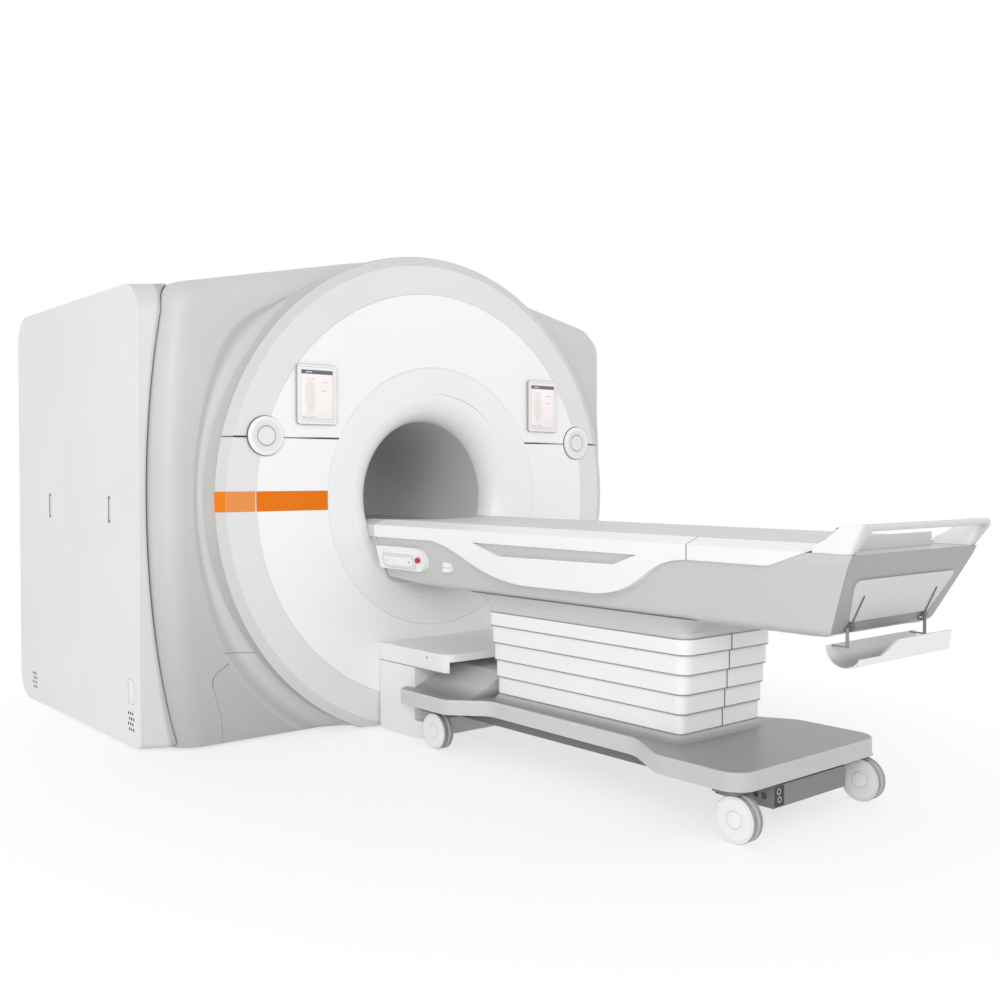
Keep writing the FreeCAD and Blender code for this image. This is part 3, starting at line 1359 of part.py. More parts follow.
def console_face(height):
    """The x of the console's leaning face at a height."""
    return (s.consoleHigh - height) * s.consoleLean / (s.consoleHigh - s.consoleLow) - s.consoleFace


def console():
    """The control block on the near side with its jog bar, stop button and the small switch."""
    low, high = s.consoleLow, s.consoleHigh
    hull = grown_hull("consoleHull")
    outline = prism("consoleOutline", "YZ", -s.consoleFace - 5, -s.bilgeHalf, [
        corner(s.consoleHead, low, 8), corner(s.consoleHead, high, 8),
        corner(s.consoleFoot, high, 44), corner(s.consoleFoot, low, 44)])
    block = prism("consoleLeaning", "XZ", s.consoleFoot - 5, s.consoleHead + 5, [
        (console_face(low), low), (console_face(high), high), (-s.bilgeHalf, high), (-s.bilgeHalf, low)])
    stem = s.stopRadius - 4
    face = console_face(s.stopHeight + s.stopRadius)
    bore = cylinder("consoleBore", "X", (s.stopY, s.stopHeight), stem + s.slip, face - 5, face + 24)
    node(cut("console", common("consoleBlock", outline, block), hull, bore))
    node(turned("stop_button", "X", (face, s.stopY, s.stopHeight), [
        (14, 0), (14, stem), (-s.stopTravel - s.slip, stem), (-s.stopTravel - s.slip, s.stopRadius),
        corner(-s.stopTravel - 9, s.stopRadius, 4), (-s.stopTravel - 10, 0)]))
    low, high = s.jogHeight - s.jogTall / 2, s.jogHeight + s.jogTall / 2
    near, far = s.fit, s.fit + s.jogThick
    bar = prism("jogOutline", "YZ", -s.consoleFace - 20, -s.bilgeHalf,
                rounded_bar(s.jogFoot, s.jogHead, low, high, 18))
    lean = prism("jogLeaning", "XZ", s.jogFoot - 5, s.jogHead + 5, [
        (console_face(low) - near, low), (console_face(low) - far, low),
        (console_face(high) - far, high), (console_face(high) - near, high)])
    node(common("jog_bar", bar, lean))
    half, tall = s.switchWidth / 2, s.switchTall / 2
    pad = prism("switchPad", "YZ", -s.switchFace, -s.bilgeHalf + 20,
                rounded_bar(s.switchY - half, s.switchY + half, s.switchHeight - tall, s.switchHeight + tall, 7))
    node(cut("table_switch", pad, hull))


def rounded_bar(left, right, low, high, radius):
    return [corner(left, low, radius), corner(right, low, radius), corner(right, high, radius),
            corner(left, high, radius)]


def build():
    magnet_vessels()
    bore_coils()
    magnet_feet()
    cold_head()
    magnet_covers()
    ring_covers()
    cover_brackets()
    displays()
    dials()
    accent_stripe()
    bore_floor()
    dock()
    base_cover()
    chassis()
    battery_box()
    castors()
    lift_bands()
    lift_column()
    table_hull()
    head_frame()
    side_rails()
    foot_handle()
    tabletop()
    end_panel()
    tray()
    console()
    doc.recompute()


def check():
    faults = [f"{item.Name}: {item.State}" for item in doc.Objects
              if "Invalid" in item.State or "Error" in item.State]
    for item in nodes:
        if item.Shape.isNull() or not item.Shape.isValid():
            faults.append(f"{item.Label}: shape is not valid")
    if faults:
        raise RuntimeError("\n".join(faults))


def export():
    os.makedirs("parts", exist_ok=True)
    for item in nodes:
        item.Shape.exportStep(f"parts/{item.Label}.step")
        print(item.Label, len(item.Shape.Solids), round(item.Shape.Volume / 1e6, 2), "litres")
    print(len(nodes), "sub-parts")


build()
check()
export()
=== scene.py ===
import math

import bmesh
import bpy
import numpy as np
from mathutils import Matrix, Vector


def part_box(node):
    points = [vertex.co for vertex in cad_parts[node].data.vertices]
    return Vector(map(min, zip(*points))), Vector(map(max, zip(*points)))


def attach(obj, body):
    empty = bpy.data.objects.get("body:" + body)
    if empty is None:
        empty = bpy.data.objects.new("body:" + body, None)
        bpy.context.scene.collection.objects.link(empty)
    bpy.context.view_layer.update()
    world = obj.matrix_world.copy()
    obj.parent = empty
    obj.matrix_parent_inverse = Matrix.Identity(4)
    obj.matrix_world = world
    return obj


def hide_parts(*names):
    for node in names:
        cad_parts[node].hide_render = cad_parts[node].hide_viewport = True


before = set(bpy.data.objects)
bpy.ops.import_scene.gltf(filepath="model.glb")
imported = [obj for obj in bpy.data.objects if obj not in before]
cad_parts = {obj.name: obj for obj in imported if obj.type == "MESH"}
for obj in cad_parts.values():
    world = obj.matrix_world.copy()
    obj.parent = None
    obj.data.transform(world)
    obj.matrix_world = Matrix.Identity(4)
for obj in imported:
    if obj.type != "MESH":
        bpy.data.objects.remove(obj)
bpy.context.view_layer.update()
scene = bpy.context.scene
print("frame loaded:", len(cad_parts), "nodes")

# Places that several pieces share, in metres. +Y runs into the bore, +Z is up.
hands = {"left": -1, "right": 1}       # the side on X
magnet = {
    "bodyHalf": 1.290,         # half the width at the height where the sides bow out most
    "sideMiddle": 1.033,       # that height
    "sideBow": 6.140,          # radius of the bow
    "axisHeight": 1.036,
    "drumRadius": 1.103,
    "wallFront": -0.750,
    "rimFlat": 1.0605,         # beyond this radius the bezel's rim leans back
    "flareSeam": 0.474,        # radius of the hairline seam in the flare
    "splitHeight": 1.2925,     # where the upper and lower covers meet
    "floorGap": 0.012,         # between the covers and the floor
}


class Wire:
    # a node socket that takes part in Python sums
    def __init__(self, tree, socket):
        self.tree = tree
        self.socket = socket

    def math(self, operation, *others):
        return node(self.tree, "Math", {"operation": operation}, [self, *others])

    def __add__(self, other):
        return self.math("ADD", other)

    def __sub__(self, other):
        return self.math("SUBTRACT", other)

    def __mul__(self, other):
        return self.math("MULTIPLY", other)

    def __truediv__(self, other):
        return self.math("DIVIDE", other)

    def __rsub__(self, other):
        return node(self.tree, "Math", {"operation": "SUBTRACT"}, [other, self])

    __radd__ = __add__

    def below(self, limit):
        return self.math("LESS_THAN", limit)

    def above(self, limit):
        return self.math("GREATER_THAN", limit)

    def between(self, low, high):
        return self.above(low) * self.below(high)

    def most(self, other):
        return self.math("MAXIMUM", other)

    def size(self):
        return self.math("ABSOLUTE")

    def root(self):
        return self.math("SQRT")

    def ramp(self, low, high):
        # 0 at low, 1 at high, straight between and flat outside
        return node(self.tree, "MapRange", {"clamp": True}, [self, low, high, 0.0, 1.0])


def node(tree, kind, settings, values, output=0):
    # one node of any type, from its settings and its inputs by position or name
    made = tree.nodes.new("ShaderNode" + kind)
    for name, value in settings.items():
        setattr(made, name, value)
    pairs = values.items() if isinstance(values, dict) else enumerate(values)
    for key, value in pairs:
        if isinstance(value, Wire):
            tree.links.new(value.socket, made.inputs[key])
        elif value is not None:
            made.inputs[key].default_value = value
    return Wire(tree, made.outputs[output])


def mixColour(share, first, second):
    tree = share.tree
    return node(tree, "Mix", {"data_type": "RGBA"}, {0: share, 6: first, 7: second}, output=2)


def tone(*levels):
    # a colour as written on screen, 0 to 255, in the linear values that shaders take
    grey = levels * 3 if len(levels) == 1 else levels
    values = [level / 255 for level in grey]
    return tuple(v / 12.92 if v <= 0.04045 else ((v + 0.055) / 1.055) ** 2.4 for v in values) + (1.0,)


class Finish:
    # a material on Object coordinates, with its shader and the wires that most finishes use
    def __init__(self, name):
        self.material = bpy.data.materials.new(name)
        self.material.use_nodes = True
        self.tree = self.material.node_tree
        self.shader = self.tree.nodes["Principled BSDF"]
        self.place = node(self.tree, "TexCoord", {}, [], output=3)
        made = self.tree.nodes.new("ShaderNodeSeparateXYZ")
        self.tree.links.new(self.place.socket, made.inputs[0])
        self.x, self.y, self.z = [Wire(self.tree, made.outputs[i]) for i in range(3)]

    def noise(self, scale, detail=2.0, stretch=(1, 1, 1)):
        place = node(self.tree, "Mapping", {}, {0: self.place, 3: stretch})
        return node(self.tree, "TexNoise", {}, {"Vector": place, "Scale": scale, "Detail": detail})

    def radius(self, first, second, centre):
        # distance from a line, from two coordinates and where the line crosses them
        across, up = first - centre[0], second - centre[1]
        return (across * across + up * up).root()

    def outside(self, first, second, centre, half, corner):
        # distance from the edge of a rounded rectangle, negative just inside it
        across = ((first - centre[0]).size() - (half[0] - corner)).most(0.0)
        up = ((second - centre[1]).size() - (half[1] - corner)).most(0.0)
        return (across * across + up * up).root() - corner

    def attribute(self, name):
        return node(self.tree, "Attribute", {"attribute_name": name}, [], output=2)

    def set(self, **values):
        for name, value in values.items():
            socket = self.shader.inputs[name.replace("_", " ")]
            if isinstance(value, Wire):
                self.tree.links.new(value.socket, socket)
            else:
                socket.default_value = value
        return self

    def tint(self, mask, colour, strength=1.0):
        # the colour where the mask is 1, mixed in by its strength
        self.base = mixColour(mask * strength, self.base, colour)
        return self.set(Base_Color=self.base)


paint = {
    "dust": 0.035,             # how far dust and handling shift the colour
    "broadScale": 1.7, "broadFade": (0.35, 0.7), "broadRough": 0.06,
    "fineScale": 240.0, "fineRough": 0.08,
    "peelScale": 420.0,
    "peel": 0.12,              # strength of the lacquer's orange peel
    "peelDepth": 0.0004,
    "edge": 0.0022,            # soft edge of a moulded cover
    "coatRough": 0.25,
    "sharpAngle": 38,          # degrees from which an edge of a grid piece is shaded as sharp
}


def lacquer(name, colour, rough=0.42, coat=0.15, peel=1.0, metallic=0.0, edge=None):
    # sprayed paint or moulded shell: broad unevenness, fine speckle, orange peel and softened edges
    finish = Finish(name)
    broad = finish.noise(paint["broadScale"], 3.0)
    fine = finish.noise(paint["fineScale"], 2.0)
    low = tuple(c * (1 - paint["dust"]) for c in colour[:3]) + (1.0,)
    finish.base = mixColour(broad.ramp(*paint["broadFade"]), low, colour)
    uneven = rough + (fine - 0.5) * paint["fineRough"] + (broad - 0.5) * paint["broadRough"]
    finish.set(Base_Color=finish.base, Roughness=uneven, Metallic=metallic, Coat_Weight=coat,
               Coat_Roughness=paint["coatRough"])
    soft = node(finish.tree, "Bevel", {"samples": 4}, [paint["edge"] if edge is None else edge])
    finish.set(Normal=node(finish.tree, "Bump", {}, {
        "Strength": paint["peel"] * peel, "Distance": paint["peelDepth"],
        "Height": finish.noise(paint["peelScale"], 3.0), "Normal": soft}))
    return finish


def dress(finish, *names):
    # the finish on CAD nodes
    for name in names:
        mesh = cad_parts[name].data
        mesh.materials.clear()
        mesh.materials.append(finish.material)


def gridPiece(name, points, finish, body, closedRows=False, closedColumns=False, shade=None):
    # Quads between neighbouring points of a rows x columns x 3 grid; a closed direction joins its last
    # line to its first. Points that fall together at poles are merged, and normals are made to face out.
    rows, columns = points.shape[:2]
    index = np.arange(rows * columns).reshape(rows, columns)
    first = index if closedRows else index[:-1]
    below = np.roll(index, -1, axis=0) if closedRows else index[1:]
    if closedColumns:
        quads = [first, np.roll(first, -1, axis=1), np.roll(below, -1, axis=1), below]
    else:
        quads = [first[:, :-1], first[:, 1:], below[:, 1:], below[:, :-1]]
    faces = np.stack([side.ravel() for side in quads], axis=1)
    mesh = bpy.data.meshes.new(name)
    mesh.from_pydata(points.reshape(-1, 3).tolist(), [], faces.tolist())
    if shade is not None:
        layer = mesh.attributes.new("shade", "FLOAT", "POINT")
        layer.data.foreach_set("value", np.broadcast_to(shade, (rows, columns)).ravel().astype(np.float32))
    work = bmesh.new()
    work.from_mesh(mesh)
    bmesh.ops.remove_doubles(work, verts=work.verts, dist=1e-6)
    bmesh.ops.dissolve_degenerate(work, edges=work.edges, dist=1e-6)
    bmesh.ops.recalc_face_normals(work, faces=work.faces)
    work.to_mesh(mesh)
    work.free()
    mesh.polygons.foreach_set("use_smooth", np.ones(len(mesh.polygons), bool))
    mesh.set_sharp_from_angle(angle=math.radians(paint["sharpAngle"]))
    mesh.materials.append(finish.material)
    piece = bpy.data.objects.new(name, mesh)
    scene.collection.objects.link(piece)
    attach(piece, body)
    return piece


def softened(profile, radius, steps=4):
    # A run of (along, out, shade) points whose inner corners become short parabolas. Each begins and ends
    # at the radius from its corner, or at 0.45 of a side that is too short for that.
    points = np.array(profile, float)
    result = [points[0]]
    for before, corner, after in zip(points[:-2], points[1:-1], points[2:]):
        back, ahead = before - corner, after - corner
        reach = [min(radius, 0.45 * np.hypot(*side[:2])) / max(np.hypot(*side[:2]), 1e-9)
                 for side in (back, ahead)]
        start, stop = corner + back * reach[0], corner + ahead * reach[1]
        for t in np.linspace(0, 1, steps):
            result.append((1 - t) ** 2 * start + 2 * t * (1 - t) * corner + t * t * stop)
    result.append(points[-1])
    return np.array(result)


def lathe(name, axis, centre, profile, finish, body, steps=96, closedProfile=False):
    # A profile of (along, out, shade) turned about an axis: each point keeps its place along the axis and
    # goes round it at its distance out.
    turn = np.linspace(0, 2 * np.pi, steps, endpoint=False)[:, None]
    along, out, shade = profile.T
    round1, round2 = out * np.cos(turn), out * np.sin(turn)
    along = np.broadcast_to(along, round1.shape)
    order = {"X": (along, round1, round2), "Y": (round1, along, round2), "Z": (round1, round2, along)}[axis]
    points = np.stack(order, axis=2) + np.array(centre)
    return gridPiece(name, points, finish, body, closedRows=True, closedColumns=closedProfile,
                     shade=shade)


shades = {
    "face": tone(249, 249, 250),
    "bezel": tone(229, 229, 230),
    "bezelRimShade": tone(206),
    "flare": tone(246),
    "wall": tone(209, 209, 208),
    "wallLowShade": tone(150, 150, 148),
    "drumShadow": tone(140, 140, 138),
    "seamShadow": tone(120),
    "panel": tone(238),
    "bevel": tone(190),
    "bore": tone(210, 210, 208),
    "boreFloor": tone(216),
    "dock": tone(243, 243, 242),
    "hull": tone(207, 207, 206),
    "hullEnd": tone(162, 162, 160),
    "tableWhite": tone(249),
    "board": tone(217),
    "band": tone(249),
    "baseTopShade": tone(150, 150, 148),
    "baseRim": tone(212),
    "box": tone(129, 129, 131),
    "wheel": tone(244),
    "orange": tone(234, 120, 2),
    "stripeEdge": tone(238, 127, 0),
    "paleOrange": tone(236, 148, 78),
    "red": tone(186, 4, 8),
    "line": tone(96, 96, 98),
    "lineStrength": 0.75,      # of most seams that are drawn as lines
    "dark": tone(44, 45, 48),
    "steel": tone(120),
    "brushed": tone(190),
    "copper": tone(184, 115, 80),
    "resin": tone(170, 160, 130),
}


# magnet covers
def fromAxis(finish):
    return finish.radius(finish.x, finish.z, (0, magnet["axisHeight"]))


def towardSide(finish):
    # distance from the middle plane, made up for how far the bowed side falls in at that height
    rise = finish.z - magnet["sideMiddle"]
    return finish.x.size() + rise * rise / (2 * magnet["sideBow"])


split = {"halfTall": 0.0042, "flareFade": (0.83, 0.62), "rimFade": (0.955, 0.975), "strength": 0.85,
         "rimStrength": 0.8}
whiteFace = lacquer("whiteFace", shades["face"], 0.36, 0.25)
bezelPaint = lacquer("bezelPaint", shades["bezel"], 0.4, 0.2)
# painted shade in the gap where the upper and lower covers meet, strongest near the flare and near the rim
for finish in (whiteFace, bezelPaint):
    splitGapShade = (finish.z - magnet["splitHeight"]).size().below(split["halfTall"])
    nearFlare = finish.x.size().ramp(*split["flareFade"])
    nearRim = finish.x.size().ramp(*split["rimFade"])
    finish.tint(splitGapShade * nearFlare.most(nearRim), shades["dark"], split["strength"])
# painted shade on the bezel's leaning rim, darker than its flat face
bezelPaint.tint(fromAxis(bezelPaint).above(magnet["rimFlat"]), shades["bezelRimShade"], split["rimStrength"])
dress(whiteFace, "face_cover_upper", "face_cover_lower")
dress(bezelPaint, "bezel_ring_upper", "bezel_ring_lower")

# the hairline is faint all round and stronger at its upper right
hairline = {"halfWide": 0.0013, "faint": 0.14, "strong": 0.6,
            "strongFrom": (-0.05, 0.12), "strongTo": (0.34, 0.22), "strongAbove": (1.2, 1.3)}
flarePaint = lacquer("flarePaint", shades["flare"], 0.4, 0.2)
onSeam = (fromAxis(flarePaint) - magnet["flareSeam"]).size().below(hairline["halfWide"])
upperRight = (flarePaint.x.ramp(*hairline["strongFrom"]) * flarePaint.x.ramp(*hairline["strongTo"])
              * flarePaint.z.ramp(*hairline["strongAbove"]))
flarePaint.tint(onSeam * (upperRight * hairline["strong"] + hairline["faint"]), shades["line"])
dress(flarePaint, "front_funnel")

# painted shade on the wall: along the drum's front edge, towards the floor and at the side panels' seam
wall = {
    "drumBand": (0.008, 0.005),        # inside and beyond the drum's radius
    "drumFade": (-0.80, -0.875), "drumStrength": 0.22,
    "lowFade": (0.95, 0.0), "lowStrength": 0.5,
    "seamBand": (0.014, 0.001),        # far and near distance from the seam, here and on the panels
    "seamFade": (-0.69, -0.655), "seamStrength": 0.4,
}
wallPaint = lacquer("wallPaint", shades["wall"], 0.46, 0.1)
inside, beyond = wall["drumBand"]
drumSide = fromAxis(wallPaint).between(magnet["drumRadius"] - inside, magnet["drumRadius"] + beyond)
wallPaint.tint(drumSide * wallPaint.y.ramp(*wall["drumFade"]), shades["drumShadow"], wall["drumStrength"])
wallPaint.tint(wallPaint.z.ramp(*wall["lowFade"]), shades["wallLowShade"], wall["lowStrength"])
far, near = wall["seamBand"]
atSeam = towardSide(wallPaint).ramp(magnet["bodyHalf"] - far, magnet["bodyHalf"] - near)
wallPaint.tint(atSeam * wallPaint.y.ramp(*wall["seamFade"]), shades["seamShadow"], wall["seamStrength"])
dress(wallPaint, "front_surround", "access_panels", "top_cover", "rear_cover")

sidePanel = {
    "face": 1.320,             # distance of the panels from the middle plane
    "bevelBack": -0.5,         # the front bevel lies before this
    "bevelFade": (0.0005, 0.004), "bevelStrength": 0.55,
    "seamStrength": 0.45,
    "sunk": 0.0012,            # what lies deeper than this is inside a hole
    "slotDeep": 0.010,         # a grip's slot is shaded down to this depth
    "gripPlaces": (-0.325, 0.427),
    "gripHeight": 0.9875,
    "gripHalf": (0.0125, 0.0575),
    "gripCorner": 0.011,
    "gripEnd": 0.044,          # the slot is dark beyond this distance from its middle
    "gripReach": 0.004,
    "gripEdge": 0.0016,
    "gripShade": (0.6, 0.1),   # strength at the slot's ends, added to that all along it
    "ventZone": ((-0.60, 0.73), (0.05, 0.17)),         # along and up
    "ventInner": 1.30,         # painted shade fills the holes from here outwards
    "plate": (-0.547, 0.236),  # the bare plate near the floor
    "plateHalf": (0.031, 0.052),
}
panelPaint = lacquer("panelPaint", shades["panel"], 0.44, 0.12)
fromMiddle = panelPaint.x.size()
onBevel = panelPaint.y.below(sidePanel["bevelBack"])
bevelStart, bevelStop = sidePanel["bevelFade"]
bevel = fromMiddle.ramp(sidePanel["face"] - bevelStart, sidePanel["face"] - bevelStop)
# painted shade on the panels' front bevel, and painted shadow beside the seam to the wall
panelPaint.tint(bevel * onBevel, shades["bevel"], sidePanel["bevelStrength"])
nearSeam = towardSide(panelPaint).ramp(magnet["bodyHalf"] + far, magnet["bodyHalf"] + near)
panelPaint.tint(nearSeam * onBevel, shades["seamShadow"], sidePanel["seamStrength"])
sunk = fromMiddle.below(sidePanel["face"] - sidePanel["sunk"])
slotOpen = sunk * fromMiddle.above(sidePanel["face"] - sidePanel["slotDeep"])
endStrength, allStrength = sidePanel["gripShade"]
ventAlong, ventUp = sidePanel["ventZone"]
nearVent = fromMiddle.above(sidePanel["ventInner"]) * panelPaint.y.between(*ventAlong)
# painted shade inside the vent holes
panelPaint.tint(sunk * nearVent * panelPaint.z.between(*ventUp), shades["dark"])
for gripPlace in sidePanel["gripPlaces"]:
    slotEdge = panelPaint.outside(panelPaint.y, panelPaint.z, (gripPlace, sidePanel["gripHeight"]),
                                  sidePanel["gripHalf"], sidePanel["gripCorner"])
    slotEnd = (panelPaint.z - sidePanel["gripHeight"]).size().above(sidePanel["gripEnd"])
    inSlot = slotEdge.below(sidePanel["gripReach"]) * slotOpen
    panelPaint.tint(inSlot * (slotEnd * endStrength + allStrength), shades["line"])
    panelPaint.tint(slotEdge.size().below(sidePanel["gripEdge"]), shades["line"], shades["lineStrength"])
dress(panelPaint, "side_panel_left", "side_panel_right")

borePaint = lacquer("borePaint", shades["bore"], 0.42, 0.05)
dress(borePaint, "bore_liner")
boreFloorPaint = lacquer("boreFloorPaint", shades["boreFloor"], 0.42, 0.1)
dress(boreFloorPaint, "bore_floor")

dock = {"seamHeight": 0.3105, "seamHalf": 0.0022, "dot": (-1.262, 0.362), "dotRadius": 0.006,
        "dotStrength": 0.7, "side": -0.32}
dockPaint = lacquer("dockPaint", shades["dock"], 0.42, 0.12)
dockSeam = (dockPaint.z - dock["seamHeight"]).size().below(dock["seamHalf"])
dockDot = dockPaint.radius(dockPaint.y, dockPaint.z, dock["dot"]).below(dock["dotRadius"])
onSide = dockPaint.x.below(dock["side"])
dockPaint.tint(dockSeam * onSide, shades["line"], shades["lineStrength"])
dockPaint.tint(dockDot * onSide, shades["line"], dock["dotStrength"])
dress(dockPaint, "dock_pedestal", "dock_shelf")

stripe = {"paleFrom": -0.936, "edgeFrom": -1.066}
stripePaint = lacquer("stripePaint", shades["orange"], 0.5, 0.0).set(Specular_IOR_Level=0.2)
stripePaint.tint(stripePaint.x.below(stripe["paleFrom"]), shades["paleOrange"])
stripePaint.tint(stripePaint.x.below(stripe["edgeFrom"]), shades["stripeEdge"])
dress(stripePaint, "accent_stripe")

# inside of the magnet
steel = lacquer("paintedSteel", shades["steel"], 0.5, 0.0)
dress(steel, "vacuum_vessel", "magnet_feet", "chassis")
brushed = lacquer("brushedSteel", shades["brushed"], 0.32, 0.0, metallic=1.0, edge=0.0008)
dress(brushed, "helium_vessel", "cold_head", "column_inner", "column_outer", "cover_brackets")
winding = {"rough": 0.35, "uneven": 0.3, "scale": 90.0, "stretch": (0.02, 1, 0.02)}
copper = lacquer("copperWinding", shades["copper"], winding["rough"], 0.0, metallic=1.0)
turns = (copper.noise(winding["scale"], 2.0, winding["stretch"]) - 0.5) * winding["uneven"]
copper.set(Roughness=winding["rough"] + turns)
dress(copper, "superconducting_coils", "body_coil")
resin = lacquer("castResin", shades["resin"], 0.6, 0.0)
dress(resin, "gradient_coil")
print("magnet finishes set")

valley = {
    "sideShare": 0.41,         # radius of the hollow curve, as a share of the flat wall beyond the drum
    "roofShare": 0.52,
    "widest": 0.110,
    "crown": 2.180,            # height at the middle plane of the roof's two slopes, drawn on to it
    "roofSlope": 0.211,
    "edge": 0.114,             # width of the rounded edge between wall and roof or side
    "reach": 158,              # degrees that the curve goes down each side from the top
    "steps": 240,              # points along the curve's run round the drum
    "curve": 14,               # points across it
    "hidden": 0.0008,          # how far its back lies inside the wall and the drum
    "crease": (0.5, 10.6, 2.4),        # strength, middle and width of the painted shade line in the crease, in points across
    "seamHeight": 0.3865,      # it carries on the seam over the access panels
    "seamHalf": 0.0018,
    "seamFrom": 0.85,
    "shadow": tone(150, 150, 148),
}


def hollowCurve():
    # The wall runs into the drum in a hollow quarter circle. Its radius has three limits: a share of the
    # flat wall between drum and side, the same between drum and roof, and the widest. The radius is the
    # smooth form of the least of them: their inverse fourth powers are summed, and the sum is turned back.
    v = valley
    turn = np.linspace(-math.radians(v["reach"]), math.radians(v["reach"]), v["steps"])
    across, up = np.abs(np.sin(turn)), np.cos(turn)
    start = magnet["drumRadius"]
    height = magnet["axisHeight"] + up * start
    half = magnet["bodyHalf"] - (height - magnet["sideMiddle"]) ** 2 / (2 * magnet["sideBow"]) - v["edge"]
    toSide = half / np.maximum(across, 1e-3)
    rise = up + v["roofSlope"] * across
    toRoof = (v["crown"] - v["edge"] - magnet["axisHeight"]) / np.maximum(rise, 1e-3)
    toRoof = np.where(rise > 0.01, toRoof, 9.0)
    limits = np.stack([(toSide - start) * v["sideShare"], (toRoof - start) * v["roofShare"],
                       np.full_like(turn, v["widest"])])
    radius = (np.clip(limits, 0.0006, None) ** -4.0).sum(axis=0)[:, None] ** -0.25
    bend = np.linspace(0, np.pi / 2, v["curve"])
    out = start + radius * (1 - np.cos(bend))
    deep = magnet["wallFront"] - radius * (1 - np.sin(bend))
    inDrum = np.full_like(radius, start - v["hidden"])
    inWall = np.full_like(radius, magnet["wallFront"] + v["hidden"])
    out = np.hstack([out, out[:, -1:], inDrum, inDrum])
    deep = np.hstack([deep, inWall, inWall, deep[:, :1]])
    x = out * np.sin(turn)[:, None]
    z = np.maximum(magnet["axisHeight"] + out * np.cos(turn)[:, None], magnet["floorGap"])
    return np.stack([x, deep, z], axis=2)


def capped(points):
    # the rings at both ends of a tube drawn in to their middles, which closes it
    ends = [np.broadcast_to(ring.mean(axis=0), ring.shape)[None] for ring in (points[0], points[-1])]
    return np.concatenate([ends[0], points, ends[1]])


valleyPaint = lacquer("valleyPaint", shades["wall"], 0.46, 0.1)
# painted shade in the crease where the hollow curve meets the wall
valleyPaint.tint(valleyPaint.attribute("shade"), valley["shadow"])
panelSeam = (valleyPaint.z - valley["seamHeight"]).size().below(valley["seamHalf"])
panelSeam = panelSeam * valleyPaint.x.size().above(valley["seamFrom"])
valleyPaint.tint(panelSeam, shades["line"], shades["lineStrength"])
strength, middle, width = valley["crease"]
crease = strength * np.exp(-((np.arange(valley["curve"] + 3) - middle) / width) ** 2)
gridPiece("wall_valley", capped(hollowCurve()), valleyPaint, "magnet", closedColumns=True,
          shade=crease)

plate = {"sunk": 0.0010, "round": 0.004, "layers": [(0.0, 0.0), (0.00084, 0.0), (0.0012, 0.0006)],
         "rim": 0.0030, "rimStrength": 0.5, "colour": tone(243)}


def roundedRectangle(halfWide, halfTall, corner, steps=6):
    # a closed run of points: four quarter circles about the corners' centres
    turn = np.linspace(0, np.pi / 2, steps)
    quarters = []
    for number, (side, rise) in enumerate(((1, 1), (-1, 1), (-1, -1), (1, -1))):
        angle = turn + number * np.pi / 2
        quarters.append(np.stack([side * (halfWide - corner) + corner * np.cos(angle),
                                  rise * (halfTall - corner) + corner * np.sin(angle)], axis=1))
    return np.concatenate(quarters)


def slab(name, plane, centre, halfSize, corner, layers, finish, body):
    # A rounded rectangle in layers of (height, inset) over its plane, closed by its middle below and above.
    # A plane is the axis that the layers rise along, with its sign.
    outlines = [roundedRectangle(halfSize[0] - inset, halfSize[1] - inset, max(corner - inset, 1e-4))
                for height, inset in layers]
    middle = np.zeros_like(outlines[0])
    flat = np.array([middle, *outlines, middle])
    heights = [layers[0][0], *(height for height, inset in layers), layers[-1][0]]
    rise = np.broadcast_to(np.array(heights)[:, None], flat.shape[:2])
    if plane[0] == "-":
        rise = -rise
    order = {"X": (rise, flat[..., 0], flat[..., 1]), "Y": (flat[..., 0], rise, flat[..., 1]),
             "Z": (flat[..., 0], flat[..., 1], rise)}[plane[-1]]
    points = np.stack(order, axis=2) + np.array(centre)
    return gridPiece(name, points, finish, body, closedColumns=True)


platePaint = lacquer("platePaint", plate["colour"], 0.35, 0.2)
plateEdge = platePaint.outside(platePaint.y, platePaint.z, sidePanel["plate"], sidePanel["plateHalf"],
                               plate["round"])
platePaint.tint(plateEdge.above(-plate["rim"]), shades["line"], plate["rimStrength"])
for hand, sign in hands.items():
    place = (sign * (sidePanel["face"] - plate["sunk"]), *sidePanel["plate"])
    slab(f"bare_plate_{hand}", "-X" if sign < 0 else "X", place, sidePanel["plateHalf"], plate["round"],
         plate["layers"], platePaint, "magnet")

# the picture has a header bar, a soft shape and short bars
display = {
    "middle": 0.650, "height": 1.477,
    "caseHalf": (0.0975, 0.1275), "caseRound": 0.016, "caseRim": 0.0018,
    "glassHalf": (0.0862, 0.1162), "glassRound": 0.006,
    "glassLayers": [(0.0, 0.0), (0.0010, 0.0), (0.0014, 0.0008)],
    "glassBack": -0.9216,      # just above the bottom of the recess for the glass
    "pictureHalf": (0.0765, 0.104), "pictureRound": 0.002, "pictureEdge": 0.0012,
    "header": (0.086, 0.103),
    "headerMark": ((-0.055, -0.025), (0.092, 0.097)),
    "shape": (-0.034, -0.005), "shapeNarrow": 2.9, "shapeFade": (0.085, 0.06),
    "barHalf": 0.0022,
    "bars": ((0.022, 0.052, 0.052), (0.018, 0.048, 0.016), (-0.05, -0.038, 0.066),
             (-0.028, -0.012, 0.066), (-0.074, -0.045, -0.097), (-0.038, -0.006, -0.097)),
    # colours, and the strength where one is mixed in
    "caseColour": tone(244), "glassColour": tone(242), "pictureColour": tone(253, 245, 243),
    "headerColour": tone(84, 84, 104), "rimTint": (tone(120), 0.7), "edgeTint": (tone(150), 0.35),
    "markTint": (tone(216), 0.8), "shapeTint": (tone(234, 227, 226), 0.8),
    "barTint": (tone(150, 140, 142), 0.45),
}
casePaint = lacquer("displayCase", display["caseColour"], 0.3, 0.3)
